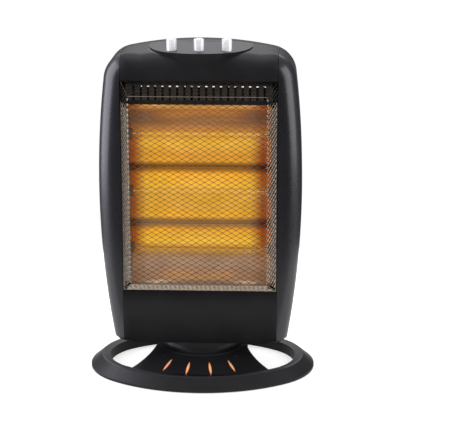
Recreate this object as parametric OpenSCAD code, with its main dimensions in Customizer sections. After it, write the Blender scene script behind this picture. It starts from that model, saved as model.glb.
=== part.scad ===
// Portable halogen heater: three quartz lamps before the three troughs of a bright
// reflector, behind an expanded-metal guard, in a moulded body that swings to and fro on an
// oval base.
// Millimetres. X runs to the right, Y to the rear (the guard faces -Y), Z up.
// The origin lies on the floor, on the swivel axis.

/* [Body] */
// Half width of the body at its widest
body_half_w = 135.6; // [120:0.1:160]
// Height of the widest line above the floor
body_wide_z = 262; // [220:1:300]
// Radius of the long bow of each side, seen from the front
side_bow_r = 1220; // [900:10:2000]
// Radius of the arched roof, seen from the front
roof_bow_r = 480; // [350:5:800]
// Height of the top of the arch above the floor
roof_z = 453; // [440:1:500]
// Radius of the two shoulders, seen from the front
shoulder_r = 38; // [34:1:60]
// Distance of the front face from the swivel axis
body_front = 57; // [52:0.5:70]
// Distance of the rear face from the swivel axis
body_rear = 53; // [48:0.5:70]
// Rounding of the front edges
front_edge_r = 28; // [16:1:30]
// Rounding of the rear edges
rear_edge_r = 20; // [12:1:21]
// Height of the underside of the body
body_floor_z = 51; // [48:0.5:60]
// Wall of the mouldings
wall = 2.6; // [1.8:0.1:3.5]
// Gap in the seams between the mouldings
seam_gap = 0.5; // [0.2:0.1:1]
// Half distance between the two front seams
seam_x = 103; // [96:0.5:108]
// Distance of the rear seam behind the swivel axis
seam_y = 18; // [10:1:24]

/* [Guard and glow opening] */
// Bottom of the guard above the floor
guard_z = 126; // [110:1:140]
// Height of the guard
guard_h = 283; // [250:1:290]
// Width of the guard's front face
guard_face_w = 180; // [150:1:190]
// Height of the guard's front face
guard_face_h = 252; // [220:1:262]
// How far the guard stands out of the front face
guard_out = 25; // [12:1:30]
// Depth of the recess that the guard's rim sits in
recess_depth = 7; // [5:0.5:10]
// Long way of one diamond of the mesh
mesh_long = 18; // [10:0.5:24]
// Short way of one diamond of the mesh
mesh_short = 10.5; // [6:0.5:14]
// Width of a strand of the mesh
strand_w = 1.5; // [1:0.1:2.5]
// Thickness of the mesh sheet
mesh_t = 1; // [0.6:0.1:1.6]
// Width of the plain border of the mesh
mesh_border = 2.2; // [1.5:0.1:4]

/* [Vent row] */
// Number of slots above the lamps
vent_count = 19; // [9:1:21]
// Pitch of the slots
vent_pitch = 9.5; // [8:0.1:10]
// Width of one slot
vent_w = 3; // [2:0.1:4]
// Height of the slots
vent_h = 19; // [10:1:20]
// Height of the middle of the slots above the floor
vent_z = 392.5; // [390:0.5:394]

/* [Reflector and lamps] */
// Number of lamps
lamp_count = 3; // [2:1:3]
// Height of one trough of the reflector
trough_h = 78.4; // [70:0.1:79]
// Depth of one trough
trough_depth = 36; // [28:0.5:38]
// Lower edge of the lowest trough above the floor
reflector_z = 137; // [135:0.5:150]
// Thickness of the reflector sheet
sheet_t = 0.8; // [0.5:0.1:1.2]
// Half width of the reflector
reflector_half_w = 94; // [85:0.5:95]
// Distance of the lamps in front of the swivel axis
lamp_front = 24; // [20:0.5:28]
// Outer diameter of the quartz tubes
tube_d = 10; // [8:0.1:12]
// Wall of the quartz tubes
tube_wall = 1; // [0.8:0.1:1.5]
// Diameter of the heating coil
filament_d = 3.6; // [2.5:0.1:5]
// Heated length of one lamp
filament_len = 156; // [130:1:170]
// Diameter of the ceramic end caps
cap_d = 15; // [13:0.5:18]
// Length of the ceramic end caps
cap_len = 18; // [14:1:24]

/* [Buttons] */
// Distance between the buttons
button_pitch = 35.9; // [30:0.1:37]
// Diameter of the buttons
button_d = 13.3; // [10:0.1:14]
// Height of the buttons above the shelf
button_rise = 13.5; // [9:0.1:18]
// Travel of the buttons
button_travel = 3; // [2:0.5:4]
// Running clearance of a button in its hole, on the radius
button_gap = 0.35; // [0.2:0.05:0.6]
// Distance of the middle button in front of the swivel axis
button_front = 46.5; // [44:0.5:47]
// How much further back the outer buttons stand
button_back = 6; // [5.5:0.5:8]

/* [Base] */
// Half width of the oval base
base_half_w = 155; // [140:1:180]
// Half depth of the oval base
base_half_d = 115; // [105:1:130]
// Radius of the two narrow ends of the oval
base_end_r = 95; // [85:1:100]
// Height of the ridge of the oval ring
ring_h = 17; // [13:0.5:22]
// Width of the bevel outside the ridge
bevel_w = 15; // [10:0.5:20]
// Width of the whole ring
ring_w = 27; // [22:0.5:32]
// Wall of the base moulding
base_wall = 2.8; // [2:0.1:4]
// Radius of the neck under the body
neck_r = 52; // [48:0.5:56]
// Height of the top of the neck
neck_z = 50; // [47:0.5:50]
// Half width of the web between the two openings, at the neck
web_half_w = 62; // [60:0.5:70]
// Radius of the curve that widens the web toward the front
web_curve_r = 59; // [50:0.5:70]
// Length of the four coloured inserts
insert_len = 23; // [16:0.5:28]
// Width of the four coloured inserts
insert_w = 4.4; // [3:0.1:6]
// Distance of the inserts from the swivel axis
insert_r = 83; // [80:0.5:88]

/* [Swivel] */
// Outer diameter of the swivel post
post_d = 20; // [16:0.5:24]
// Bore of the swivel post
post_bore = 13; // [9:0.5:14]
// Running clearance of the bush on the post, on the radius
bush_gap = 0.05; // [0.02:0.01:0.1]
// Radius of the motor's crank
crank_r = 13.2; // [11:0.1:14]
// Distance of the motor's shaft from the swivel axis
motor_x = 50; // [47:0.5:56]
// Radius of the fixed arm on the swivel post
arm_r = 22; // [20:0.5:24]
// Diameter of the crank pin and of the pin of the fixed arm
link_pin_d = 4; // [3:0.1:5]
// Clearance of the open pivot at the far end of the link, on the radius
open_pivot_gap = 2.4; // [2:0.1:3]

/* [Hidden] */

$fn = 64;
ARC_FN = 360;          // smoothness of the shelf's arch
BOW_LAP = 0.002;       // degrees by which neighbouring arcs of the oval lap, so that they join
SHELF_LAP = 0.4;       // width by which the shelf's rim runs into the roof
RUNNING_GAP = 0.3;     // clearance between neighbours that only lie near each other

PLASTIC = "#26262a";
GLOSS = "#1d1d20";
STEEL = "#9a9c9e";
CHROME = "#c9cbcc";
ALUMINIUM = "#d6cfc2";
CERAMIC = "#e9e4d8";
BRASS = "#b9974a";
RUBBER = "#1a1a1a";
ORANGE = "#e07828";
SILVER = "#e4e6e8";

// --- Outline of the body, seen from the front ---------------------------------------
side_cx = body_half_w - side_bow_r;
roof_cz = roof_z - roof_bow_r;
side_in_r = side_bow_r - shoulder_r;
roof_in_r = roof_bow_r - shoulder_r;
// The shoulder's centre lies shoulder_r inside both bows
centre_gap = norm([side_cx, body_wide_z - roof_cz]);
centre_dir = atan2(body_wide_z - roof_cz, side_cx);
centre_turn = acos((roof_in_r * roof_in_r + centre_gap * centre_gap - side_in_r * side_in_r)
    / (2 * roof_in_r * centre_gap));
roof_end = centre_dir - centre_turn;
shoulder_x = roof_in_r * cos(roof_end);
shoulder_z = roof_cz + roof_in_r * sin(roof_end);
side_end = atan2(shoulder_z - body_wide_z, shoulder_x - side_cx);
side_start = asin((body_floor_z - 6 - body_wide_z) / side_bow_r);

function half_width_at(z, inset) =
    side_cx + sqrt(pow(side_bow_r - inset, 2) - pow(z - body_wide_z, 2));

// --- Derived places ------------------------------------------------------------------
guard_half_w = seam_x - seam_gap - RUNNING_GAP;
guard_top = guard_z + guard_h;
lip_front = body_front - recess_depth;       // face that the guard's rim rests on
lip_back = lip_front - wall;                 // face that the reflector box hangs on
reflector_top = reflector_z + lamp_count * trough_h;
flange_t = 1;                                // sheet of the reflector's end plates
reflector_front = lip_back - flange_t;
reflector_back = reflector_front - trough_depth - sheet_t;
shield_front = reflector_back - 8;
lip_x = seam_x - 7;
motor_z = body_floor_z + 3;
plate_t = 3;
plate_top = body_floor_z + plate_t;

function lamp_z(i) = reflector_z + (i + 0.5) * trough_h;
function trough_r() = (pow(trough_h / 2, 2) + pow(trough_depth, 2)) / (2 * trough_depth);

// --- Body shell ----------------------------------------------------------------------
// A station is a point on the outline with the direction of its outward normal.
SIDE_STEPS = 10;
SHOULDER_STEPS = 9;
ROOF_STEPS = 10;
EDGE_STEPS = 8;
KEEL_IN = 40;          // the outline closes along a keel below the body, which is cut away
KEEL_DROP = 24;

function on_bow(centre, r, a) = [centre[0] + r * cos(a), centre[1] + r * sin(a), a];
function steps(from, to, n, first) = [for (i = [first:n]) from + (to - from) * i / n];
side_stations = [for (a = steps(side_start, side_end, SIDE_STEPS, 0))
    on_bow([side_cx, body_wide_z], side_bow_r, a)];
shoulder_stations = [for (a = steps(side_end, roof_end, SHOULDER_STEPS, 1))
    on_bow([shoulder_x, shoulder_z], shoulder_r, a)];
roof_stations = [for (a = steps(roof_end, 180 - roof_end, ROOF_STEPS, 1))
    on_bow([0, roof_cz], roof_bow_r, a)];
keel = [side_stations[0][0] - KEEL_IN, side_stations[0][1] - KEEL_DROP, -90];
right_stations = concat([keel], side_stations, shoulder_stations);
left_stations = [for (i = [len(right_stations) - 1:-1:0])
    [-right_stations[i][0], right_stations[i][1], 180 - right_stations[i][2]]];
stations = concat(right_stations, [for (i = [0:ROOF_STEPS - 2]) roof_stations[i]], left_stations);

// Points of a half's edge rounding as [distance in from the outline, depth]; face is the
// depth of that half's flat face
function edge_round(face, edge, inset) = let (s = sign(face), r = edge - inset)
    [for (i = [0:EDGE_STEPS]) let (a = 90 * i / EDGE_STEPS)
        [edge - r * cos(a), s * (abs(face) - edge + r * sin(a))]];

// Closed loops round the outline, one for each point of the profile, skinned from each to
// the next; the loop numbered cap_after and the one that follows it are closed by flat faces
module skinned(profile, cap_after) {
    n = len(profile);
    m = len(stations);
    front = profile[cap_after][1] < profile[0][1];
    function turned(face) = front ? face : [for (i = [len(face) - 1:-1:0]) face[i]];
    polyhedron(
        points = [for (q = profile, s = stations)
            [s[0] - q[0] * cos(s[2]), -q[1], s[1] - q[0] * sin(s[2])]],
        faces = concat(
            [turned([for (i = [0:m - 1]) cap_after * m + i])],
            [turned([for (i = [m - 1:-1:0]) ((cap_after + 1) % n) * m + i])],
            [for (k = [0:n - 1], i = [0:m - 1], t = [0, 1]) if (k != cap_after)
                let (a = k * m, b = ((k + 1) % n) * m, j = (i + 1) % m)
                    turned(t == 0 ? [a + i, a + j, b + j] : [a + i, b + j, b + i])]),
        convexity = 6);
}

// Hollow half of the body, from its open edge at the seam to its flat face
module half_shell(face, edge, back) {
    inner = edge_round(face, edge, wall);
    skinned(concat([[0, back]], edge_round(face, edge, 0),
        [for (i = [EDGE_STEPS:-1:0]) inner[i]], [[wall, back]]), EDGE_STEPS + 1);
}

// Filled front half, a little inside the hollow one's skin
module front_filling(inset) {
    skinned(concat([[inset, -seam_y]], edge_round(body_front, front_edge_r, inset)), EDGE_STEPS + 1);
}
module front_shell() { half_shell(body_front, front_edge_r, -seam_y + seam_gap / 2); }
module rear_shell() { half_shell(-body_rear, rear_edge_r, -seam_y - seam_gap / 2); }

module both_sides() {
    children();
    mirror([1, 0, 0]) children();
}

// Block between two corners given as [x, depth toward the front, z]
module block(a, b) {
    translate([a[0], -b[1], a[2]]) cube([b[0] - a[0], b[1] - a[1], b[2] - a[2]]);
}

// What rounding by r takes off a corner of a flat shape; sx and sy point into the shape
module round_corner(x, y, sx, sy, r) {
    translate([x + sx * r, y + sy * r]) difference() {
        scale([-sx, -sy]) square(r + 1);
        circle(r, $fn = 48);
    }
}

// Upright round bar from one height to another; depth counts toward the front
module upright(x, depth, z0, z1, d) {
    translate([x, -depth, z0]) cylinder(h = z1 - z0, d = d);
}

// --- Upper fascia with the switch shelf ----------------------------------------------
shelf_slope = 3.6;                 // the shelf falls toward its front edge
shelf_half_w = 69;                 // half distance of the shelf's two straight ends
shelf_centre = -22;                // depth of the shelf's plan centre
shelf_root_r = body_front - shelf_centre;  // plan radius where its underside meets the front
shelf_r = shelf_root_r + 13;       // plan radius of the shelf's edge
shelf_root_z = roof_z - 23;
switch_room = button_pitch + 9;    // half width of the space for the three switches
bracket_screw_x = 62;              // half distance of the two bosses of the switch bracket
bracket_screw_z = roof_z - 27;

module under_arch(inset) {
    // everything under the sloping top of the shelf
    translate([0, 0, roof_z]) rotate([shelf_slope, 0, 0]) translate([0, 30, roof_cz - roof_z])
        rotate([90, 0, 0]) cylinder(h = 160, r = roof_bow_r - inset, $fn = ARC_FN);
}

module shelf_bowl(inset, top_z, back = 0) {
    flare = (shelf_r - shelf_root_r) / (roof_z - shelf_root_z);
    difference() {
        translate([0, -shelf_centre, shelf_root_z])
            cylinder(h = top_z - shelf_root_z, r1 = shelf_root_r - inset,
                r2 = shelf_root_r - inset + flare * (top_z - shelf_root_z), $fn = 128);
        block([-shelf_r * 2, -200, 0], [shelf_r * 2, back, roof_z + 100]);
        for (end = [[-shelf_r * 2, inset - shelf_half_w], [shelf_half_w - inset, shelf_r * 2]])
            block([end[0], -200, 0], [end[1], 200, roof_z + 100]);
    }
}

function button_x(i) = (i - 1) * button_pitch;
function button_depth(i) = button_front - (i == 1 ? 0 : button_back);
function arch_drop(x) = roof_bow_r - sqrt(roof_bow_r * roof_bow_r - x * x);
function shelf_z(i) = roof_z - arch_drop(button_x(i)) - button_depth(i) * tan(shelf_slope);

module upper_fascia() {
    fascia_bottom = reflector_top + RUNNING_GAP;
    band_top = guard_top + RUNNING_GAP;
    color(PLASTIC) difference() {
        union() {
            difference() {
                intersection() {
                    front_shell();
                    block([-seam_x + seam_gap / 2, -body_rear, band_top],
                        [seam_x - seam_gap / 2, body_front + 1, roof_z + 5]);
                }
                shelf_bowl(SHELF_LAP, roof_z + 20, 1);
            }
            // switch shelf: a shallow bowl cut off by the sloping arch
            difference() {
                intersection() { shelf_bowl(0, roof_z + 4); under_arch(0); }
                intersection() {
                    translate([0, 0, -0.01]) shelf_bowl(wall, roof_z + 4);
                    under_arch(wall);
                }
                // the bowl is open below, where the switches stand
                block([-switch_room, bracket_back, shelf_root_z - 1],
                    [switch_room, body_front - wall, shelf_root_z + 8]);
            }
            // step over the guard and the slotted band behind it
            block([-lip_x, lip_back, band_top], [lip_x, body_front - wall / 2, band_top + wall]);
            block([-lip_x, lip_back, fascia_bottom], [lip_x, lip_front, band_top + wall]);
            // bosses of the switch bracket
            for (x = [-bracket_screw_x, bracket_screw_x])
                translate([x, -lip_front + 2, bracket_screw_z]) rotate([90, 0, 0])
                    cylinder(h = body_front - wall / 2 - lip_front + 2, d = 9);
        }
        for (i = [0:vent_count - 1])
            translate([(i - (vent_count - 1) / 2) * vent_pitch - vent_w / 2, -lip_front - 1,
                vent_z - vent_h / 2]) cube([vent_w, wall + 2, vent_h]);
        for (i = [0:2]) {
            upright(button_x(i), button_depth(i), roof_z - 30, roof_z + 20,
                button_d + 2 * button_gap);
            // room for the button's flange on its way down
            upright(button_x(i), button_depth(i), flange_top - flange_h - button_travel - 0.3,
                flange_top + 0.3, button_d + 2 * flange_lip + 2 * RUNNING_GAP);
        }
        for (x = [-bracket_screw_x, bracket_screw_x])
            translate([x, -lip_front + 1.5, bracket_screw_z]) rotate([90, 0, 0])
                cylinder(h = 6, d = 3);
    }
}

// --- Lower fascia --------------------------------------------------------------------
module lower_fascia() {
    ledge_z = guard_z - RUNNING_GAP;
    rib_t = 1.8;
    color(PLASTIC) union() {
        intersection() {
            front_shell();
            block([-seam_x + seam_gap / 2, front_edge_r, body_floor_z],
                [seam_x - seam_gap / 2, body_front + 1, ledge_z]);
        }
        block([-lip_x, lip_back, ledge_z - wall], [lip_x, body_front - wall / 2, ledge_z]);
        block([-lip_x, lip_back, ledge_z - wall],
            [lip_x, lip_front, reflector_z - RUNNING_GAP]);
        // ribs that stiffen the panel behind
        for (x = [-60, -20, 20, 60])
            block([x - rib_t / 2, body_front - wall - 8, plate_top + 0.5],
                [x + rib_t / 2, body_front - wall / 2, ledge_z - wall / 2]);
    }
}

// --- Side covers ---------------------------------------------------------------------
module side_cover() {
    color(GLOSS) union() {
        intersection() {
            front_shell();
            block([seam_x + seam_gap / 2, -seam_y - 1, body_floor_z],
                [body_half_w + 1, body_front + 1, roof_z]);
        }
        // return wall along the seam, and the lip that the guard's rim rests on
        intersection() {
            front_filling(wall / 2);
            union() {
                block([seam_x + seam_gap / 2, lip_back, plate_top + 1],
                    [seam_x + seam_gap / 2 + wall, body_front, guard_top + 8]);
                block([lip_x + seam_gap, lip_back, guard_z + 4],
                    [seam_x + seam_gap / 2 + wall, lip_front, guard_top - 4]);
            }
        }
    }
}

module left_side_cover() { mirror([1, 0, 0]) side_cover(); }
module right_side_cover() { side_cover(); }

// --- Rear cover ----------------------------------------------------------------------
grip_w = 96;
grip_h = 26;
grip_depth = 20;
grip_z = 408;
louvre_w = 52;
louvre_h = 3.2;
louvre_pitch = 9;
upper_louvre_z = 311;
lower_louvre_z = 100;
gland_x = 52;
gland_z = 74;
gland_d = 12;
screw_places = [[-108, 90], [108, 90], [-112, 380], [112, 380]];

module louvres(rows, z0) {
    for (i = [0:rows - 1], x = [-1, 0, 1])
        translate([x * (louvre_w + 8) - louvre_w / 2, body_rear - wall - 1, z0 + i * louvre_pitch])
            cube([louvre_w, wall + 2, louvre_h]);
}

module rear_cover() {
    color(PLASTIC) difference() {
        union() {
            intersection() {
                rear_shell();
                block([-body_half_w - 1, -body_rear - 1, body_floor_z],
                    [body_half_w + 1, 0, roof_z + 1]);
            }
            // walls of the grip pocket
            translate([-grip_w / 2 - wall, body_rear - grip_depth - wall, grip_z - wall])
                cube([grip_w + 2 * wall, grip_depth + wall / 2, grip_h + 2 * wall]);
            // screw bosses
            for (p = screw_places)
                translate([p[0], seam_y + 6, p[1]]) rotate([-90, 0, 0])
                    cylinder(h = body_rear - seam_y - 6 - wall / 2, d = 9);
        }
        translate([-grip_w / 2, body_rear - grip_depth, grip_z])
            cube([grip_w, grip_depth + 1, grip_h]);
        louvres(9, upper_louvre_z);
        louvres(5, lower_louvre_z);
        translate([gland_x, body_rear - wall - 1, gland_z]) rotate([-90, 0, 0])
            cylinder(h = wall + 2, d = gland_d);
        for (p = screw_places) {
            translate([p[0], seam_y, p[1]]) rotate([-90, 0, 0]) cylinder(h = 60, d = 3.6);
            translate([p[0], body_rear - 5, p[1]]) rotate([-90, 0, 0]) cylinder(h = 10, d = 7);
        }
    }
}

module rear_screws() {
    color(STEEL) for (p = screw_places)
        translate([p[0], body_rear - 5, p[1]]) rotate([90, 0, 0]) {
            cylinder(h = body_rear - 5 - seam_y - 2, d = 3.4);
            translate([0, 0, -2.2]) cylinder(h = 2.2, d = 6.4);
        }
}

module cord_gland() {
    color(RUBBER) translate([gland_x, body_rear, gland_z]) rotate([-90, 0, 0]) difference() {
        union() {
            translate([0, 0, -wall - 4]) cylinder(h = 3.8, d = gland_d + 5);
            translate([0, 0, -wall - 1]) cylinder(h = wall + 2, d = gland_d - 0.2);
            translate([0, 0, 0.2]) cylinder(h = 2, d = gland_d + 4);
            translate([0, 0, 2]) cylinder(h = 10, d1 = gland_d, d2 = gland_d - 3);
        }
        translate([0, 0, -wall - 5]) cylinder(h = 30, d = 6.5);
    }
}

// --- Bottom plate and swivel bearing -------------------------------------------------
bush_wall = 2.5;
hub_wall = 3.5;
hub_top = body_floor_z + 21;
bush_od = post_d + 2 * bush_gap + 2 * bush_wall;
plate_depth_front = body_front - wall - RUNNING_GAP;
plate_depth_rear = body_rear - wall - RUNNING_GAP;

module bottom_plate() {
    plate_half_w = half_width_at(body_floor_z, wall) - RUNNING_GAP;
    front_r = front_edge_r - wall;
    rear_r = rear_edge_r - wall;
    color(PLASTIC) difference() {
        union() {
            translate([0, 0, body_floor_z]) linear_extrude(plate_t) both_sides() {
                translate([0, -plate_depth_front + front_r])
                    square([plate_half_w, plate_depth_front + plate_depth_rear - front_r - rear_r]);
                translate([0, -plate_depth_front]) square([plate_half_w - front_r, front_r + 1]);
                translate([0, plate_depth_rear - rear_r - 1])
                    square([plate_half_w - rear_r, rear_r + 1]);
                translate([plate_half_w - front_r, -plate_depth_front + front_r]) circle(front_r);
                translate([plate_half_w - rear_r, plate_depth_rear - rear_r]) circle(rear_r);
            }
            upright(0, 0, body_floor_z, hub_top, bush_od + 2 * hub_wall);
            for (s = [-1, 1]) upright(motor_x, s * motor_ear, plate_top - 1, motor_z + 3, 8);
        }
        upright(0, 0, body_floor_z - 1, hub_top + 1, bush_od);
        for (s = [-1, 1]) upright(motor_x, s * motor_ear, body_floor_z + 1, motor_z + 4, 2.6);
    }
}

module swivel_bush() {
    color(CERAMIC) difference() {
        union() {
            upright(0, 0, body_floor_z, hub_top, bush_od);
            upright(0, 0, hub_top, hub_top + 1.2, bush_od + 2 * hub_wall);
        }
        upright(0, 0, body_floor_z - 1, hub_top + 2, post_d + 2 * bush_gap);
    }
}

washer_bottom = hub_top + 1.2 + 0.2;
nut_bottom = washer_bottom + 1.5;
arm_bottom = nut_bottom + 6;
arm_t = 3;
post_top = arm_bottom + arm_t + 2;
neck_plate_t = 3;
post_flange_t = 3;
flange_screw_r = 17.5;

module swivel_post() {
    z0 = neck_z - neck_plate_t - post_flange_t;
    color(STEEL) difference() {
        union() {
            upright(0, 0, z0, post_top, post_d);
            upright(0, 0, z0, z0 + post_flange_t, 46);
        }
        upright(0, 0, z0 - 1, post_top + 1, post_bore);
        for (a = [45:90:315]) rotate([0, 0, a])
            translate([flange_screw_r, 0, z0 - 1]) cylinder(h = post_flange_t + 2, d = 4.2);
    }
}

module slip_washer() {
    color(CERAMIC) difference() {
        upright(0, 0, neck_z, body_floor_z - 0.2, 2 * neck_r - 8);
        upright(0, 0, neck_z - 1, body_floor_z + 1, post_d + 1);
    }
}

module post_washer() {
    color(STEEL) difference() {
        upright(0, 0, washer_bottom, nut_bottom, 34);
        upright(0, 0, washer_bottom - 1, nut_bottom + 1, post_d);
    }
}

module post_nut() {
    color(BRASS) difference() {
        translate([0, 0, nut_bottom]) cylinder(h = arm_bottom - nut_bottom, d = 31, $fn = 6);
        upright(0, 0, nut_bottom - 1, arm_bottom + 1, post_d);
    }
}

// --- Swing drive ---------------------------------------------------------------------
// The link drives the body from the fixed arm. Its far eye is the open pivot.
pin_top = arm_bottom + arm_t + 5.5;
link_z = arm_bottom + arm_t + 1;
link_t = 2.4;
motor_ear = 27;
motor_r = 22;
motor_h = arm_bottom - motor_z - 4;
eye_shift = 1.4;                        // spreads the play of the open pivot evenly

module anchor_arm() {
    color(STEEL) difference() {
        union() {
            upright(0, 0, arm_bottom, arm_bottom + arm_t, post_d + 7);
            translate([-5, 0, arm_bottom]) cube([10, arm_r, arm_t]);
            upright(0, -arm_r, arm_bottom, arm_bottom + arm_t, 10);
            upright(0, -arm_r, arm_bottom, pin_top, link_pin_d);
        }
        upright(0, 0, arm_bottom - 1, arm_bottom + arm_t + 1, post_d);
    }
}

module swing_motor() {
    color(STEEL) union() {
        difference() {
            union() {
                upright(motor_x, 0, motor_z, motor_z + motor_h, 2 * motor_r);
                translate([motor_x - 4, -motor_ear, motor_z + 3]) cube([8, 2 * motor_ear, 1]);
                for (s = [-1, 1]) upright(motor_x, s * motor_ear, motor_z + 3, motor_z + 4, 8);
            }
            for (s = [-1, 1]) upright(motor_x, s * motor_ear, motor_z + 2, motor_z + 5, 3.4);
        }
        upright(motor_x, 0, motor_z + motor_h, motor_z + motor_h + 1.5, 12);
        upright(motor_x, 0, motor_z + motor_h, arm_bottom + arm_t, 5);
    }
}

module motor_crank() {
    color(STEEL) translate([motor_x, 0, 0]) difference() {
        union() {
            upright(0, 0, arm_bottom - 1, arm_bottom + arm_t, 12);
            translate([-4, 0, arm_bottom]) cube([8, crank_r, arm_t]);
            upright(0, -crank_r, arm_bottom, arm_bottom + arm_t, 8);
            upright(0, -crank_r, arm_bottom, pin_top, link_pin_d);
        }
        upright(0, 0, arm_bottom - 2, arm_bottom + arm_t + 1, 5.1);
    }
}

module drive_link() {
    near = [motor_x, crank_r];
    far = [0, arm_r + eye_shift];
    along = far - near;
    reach = norm(along);
    color(BRASS) translate([near[0], near[1], link_z]) rotate([0, 0, atan2(along[1], along[0])])
        difference() {
            union() {
                cylinder(h = link_t, d = link_pin_d + 6);
                translate([0, -3, 0]) cube([reach - 5, 6, link_t]);
                translate([reach, 0, 0]) cylinder(h = link_t, d = link_pin_d + 2 * open_pivot_gap + 6);
            }
            translate([0, 0, -1]) cylinder(h = link_t + 2, d = link_pin_d + 0.1);
            translate([reach, 0, -1]) cylinder(h = link_t + 2, d = link_pin_d + 2 * open_pivot_gap);
        }
}

// --- Guard ---------------------------------------------------------------------------
// Expanded metal: diamonds in staggered rows, cut from a flat panel
module diamond(w, h) { polygon([[-w / 2, 0], [0, -h / 2], [w / 2, 0], [0, h / 2]]); }

module mesh_panel(w, h) {
    columns = floor((w - 2 * mesh_border) / mesh_long);
    rows = floor((h - 2 * mesh_border) / mesh_short);
    pitch_x = (w - 2 * mesh_border) / columns;
    pitch_y = (h - 2 * mesh_border) / rows;
    // an opening is a diamond less half a strand on each slanting side
    shrink = 1 - strand_w * norm([pitch_x, pitch_y]) / (pitch_x * pitch_y);
    x0 = -columns * pitch_x / 2;
    y0 = -rows * pitch_y / 2;
    difference() {
        square([w, h], center = true);
        for (i = [0:columns - 1], j = [0:rows - 1])
            translate([x0 + (i + 0.5) * pitch_x, y0 + (j + 0.5) * pitch_y])
                diamond(pitch_x * shrink, pitch_y * shrink);
        if (columns > 1 && rows > 1) for (i = [1:columns - 1], j = [1:rows - 1])
            translate([x0 + i * pitch_x, y0 + j * pitch_y])
                diamond(pitch_x * shrink, pitch_y * shrink);
    }
}

face_z = guard_z + guard_h / 2;         // height of the middle of the guard
face_front = body_front + guard_out;
rim_depth = recess_depth + 0.6;
fold_t = 1.6;                           // round of the folds, which hides the panels' ends

// One sloping return, drawn flat and folded back from an edge of the face
module return_panel(len, half_run) {
    slant = norm([half_run, guard_out]);
    rotate([0, 0, atan2(guard_out, half_run)]) translate([slant / 2, mesh_t / 2, 0])
        rotate([90, 0, 0]) linear_extrude(mesh_t) mesh_panel(slant, len);
}

module guard_returns(half_edge, half_run, len) {
    for (s = [0, 180]) rotate([0, s, 0]) translate([half_edge, 0, 0]) return_panel(len, half_run);
}

module bar(from, to, d) {
    along = to - from;
    translate(from) rotate([0, acos(along[2] / norm(along)), atan2(along[1], along[0])])
        cylinder(h = norm(along), d = d, $fn = 16);
}

module guard_mesh() {
    run_x = guard_half_w - guard_face_w / 2;
    run_z = (guard_h - guard_face_h) / 2;
    face_x = guard_face_w / 2;
    face_h2 = guard_face_h / 2;
    rim_h2 = guard_h / 2;
    color(CHROME) translate([0, -face_front, face_z]) union() {
        translate([0, mesh_t / 2, 0]) rotate([90, 0, 0])
            linear_extrude(mesh_t) mesh_panel(guard_face_w, guard_face_h);
        guard_returns(face_x, run_x, guard_face_h);
        rotate([0, 90, 0]) guard_returns(face_h2, run_z, guard_face_w);
        // folds round the face, corner seams, and the turned rim
        for (x = [-1, 1]) bar([x * face_x, 0, -face_h2], [x * face_x, 0, face_h2], fold_t);
        for (z = [-1, 1]) bar([-face_x, 0, z * face_h2], [face_x, 0, z * face_h2], fold_t);
        for (x = [-1, 1], z = [-1, 1])
            bar([x * face_x, 0, z * face_h2],
                [x * (guard_half_w - fold_t / 2), guard_out, z * (rim_h2 - fold_t / 2)], fold_t);
        translate([0, guard_out - 0.6, 0]) rotate([-90, 0, 0]) linear_extrude(rim_depth)
            difference() {
                square([2 * guard_half_w, guard_h], center = true);
                square([2 * (guard_half_w - mesh_t), guard_h - 2 * mesh_t], center = true);
            }
    }
}

// Spring clips that hold the rim against the lips of the side covers
clip_w = 9;
clip_heights = [guard_z + 40, guard_z + guard_h / 2, guard_z + guard_h - 40];

module guard_clips() {
    clip_x = guard_half_w - mesh_t;
    color(STEEL) both_sides() for (z = clip_heights) {
        block([clip_x - 0.8, lip_front + 0.2, z - clip_w / 2],
            [clip_x, lip_front + rim_depth - 1.5, z + clip_w / 2]);
        block([clip_x - 5, lip_front, z - clip_w / 2], [clip_x, lip_front + 0.8, z + clip_w / 2]);
    }
}

// --- Reflector box -------------------------------------------------------------------
reflector_rim_h = 6;      // upright rim along the top of the sheet
// lower end of the rim along the bottom, just above the guard's turned edge
reflector_rim_z = guard_z + mesh_t + RUNNING_GAP;

module reflector() {
    r = trough_r();
    color(ALUMINIUM) translate([-reflector_half_w, 0, 0]) rotate([90, 0, 90])
        linear_extrude(2 * reflector_half_w) {
            reflector_section(r);
            translate([-reflector_front, reflector_top - sheet_t])
                square([sheet_t, reflector_rim_h + sheet_t]);
            translate([-reflector_front, reflector_rim_z])
                square([sheet_t, reflector_z + sheet_t - reflector_rim_z]);
        }
}

module reflector_section(r) {
    difference() {
        translate([-reflector_front, reflector_z])
            square([trough_depth + sheet_t, reflector_top - reflector_z]);
        for (i = [0:lamp_count - 1])
            translate([-reflector_front - (r - trough_depth), lamp_z(i)]) circle(r, $fn = 180);
        // the back follows the troughs at the thickness of the sheet
        difference() {
            translate([-reflector_front + 1, reflector_z - 1])
                square([trough_depth + 5, reflector_top - reflector_z + 2]);
            for (i = [0:lamp_count - 1])
                translate([-reflector_front - (r - trough_depth), lamp_z(i)])
                    circle(r + sheet_t, $fn = 180);
        }
    }
}

end_x = reflector_half_w + RUNNING_GAP;
end_bottom = reflector_z - 2;
end_top = reflector_top - 2;

module reflector_end() {
    color(STEEL) difference() {
        union() {
            block([end_x, shield_front, end_bottom], [end_x + flange_t, lip_back, end_top]);
            block([end_x, lip_back - flange_t, end_bottom], [end_x + 8, lip_back, end_top]);
            block([end_x, shield_front, end_bottom],
                [end_x + 10, shield_front + flange_t, end_top]);
        }
        for (i = [0:lamp_count - 1])
            translate([end_x - 1, -lamp_front, lamp_z(i)]) rotate([0, 90, 0])
                cylinder(h = flange_t + 2, d = cap_d + 0.2);
    }
}

module reflector_end_left() { mirror([1, 0, 0]) reflector_end(); }
module reflector_end_right() { reflector_end(); }

// Louvred sheet that keeps the heat off the rear cover; it stands higher than the reflector
shield_top = end_top + 18;

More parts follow.
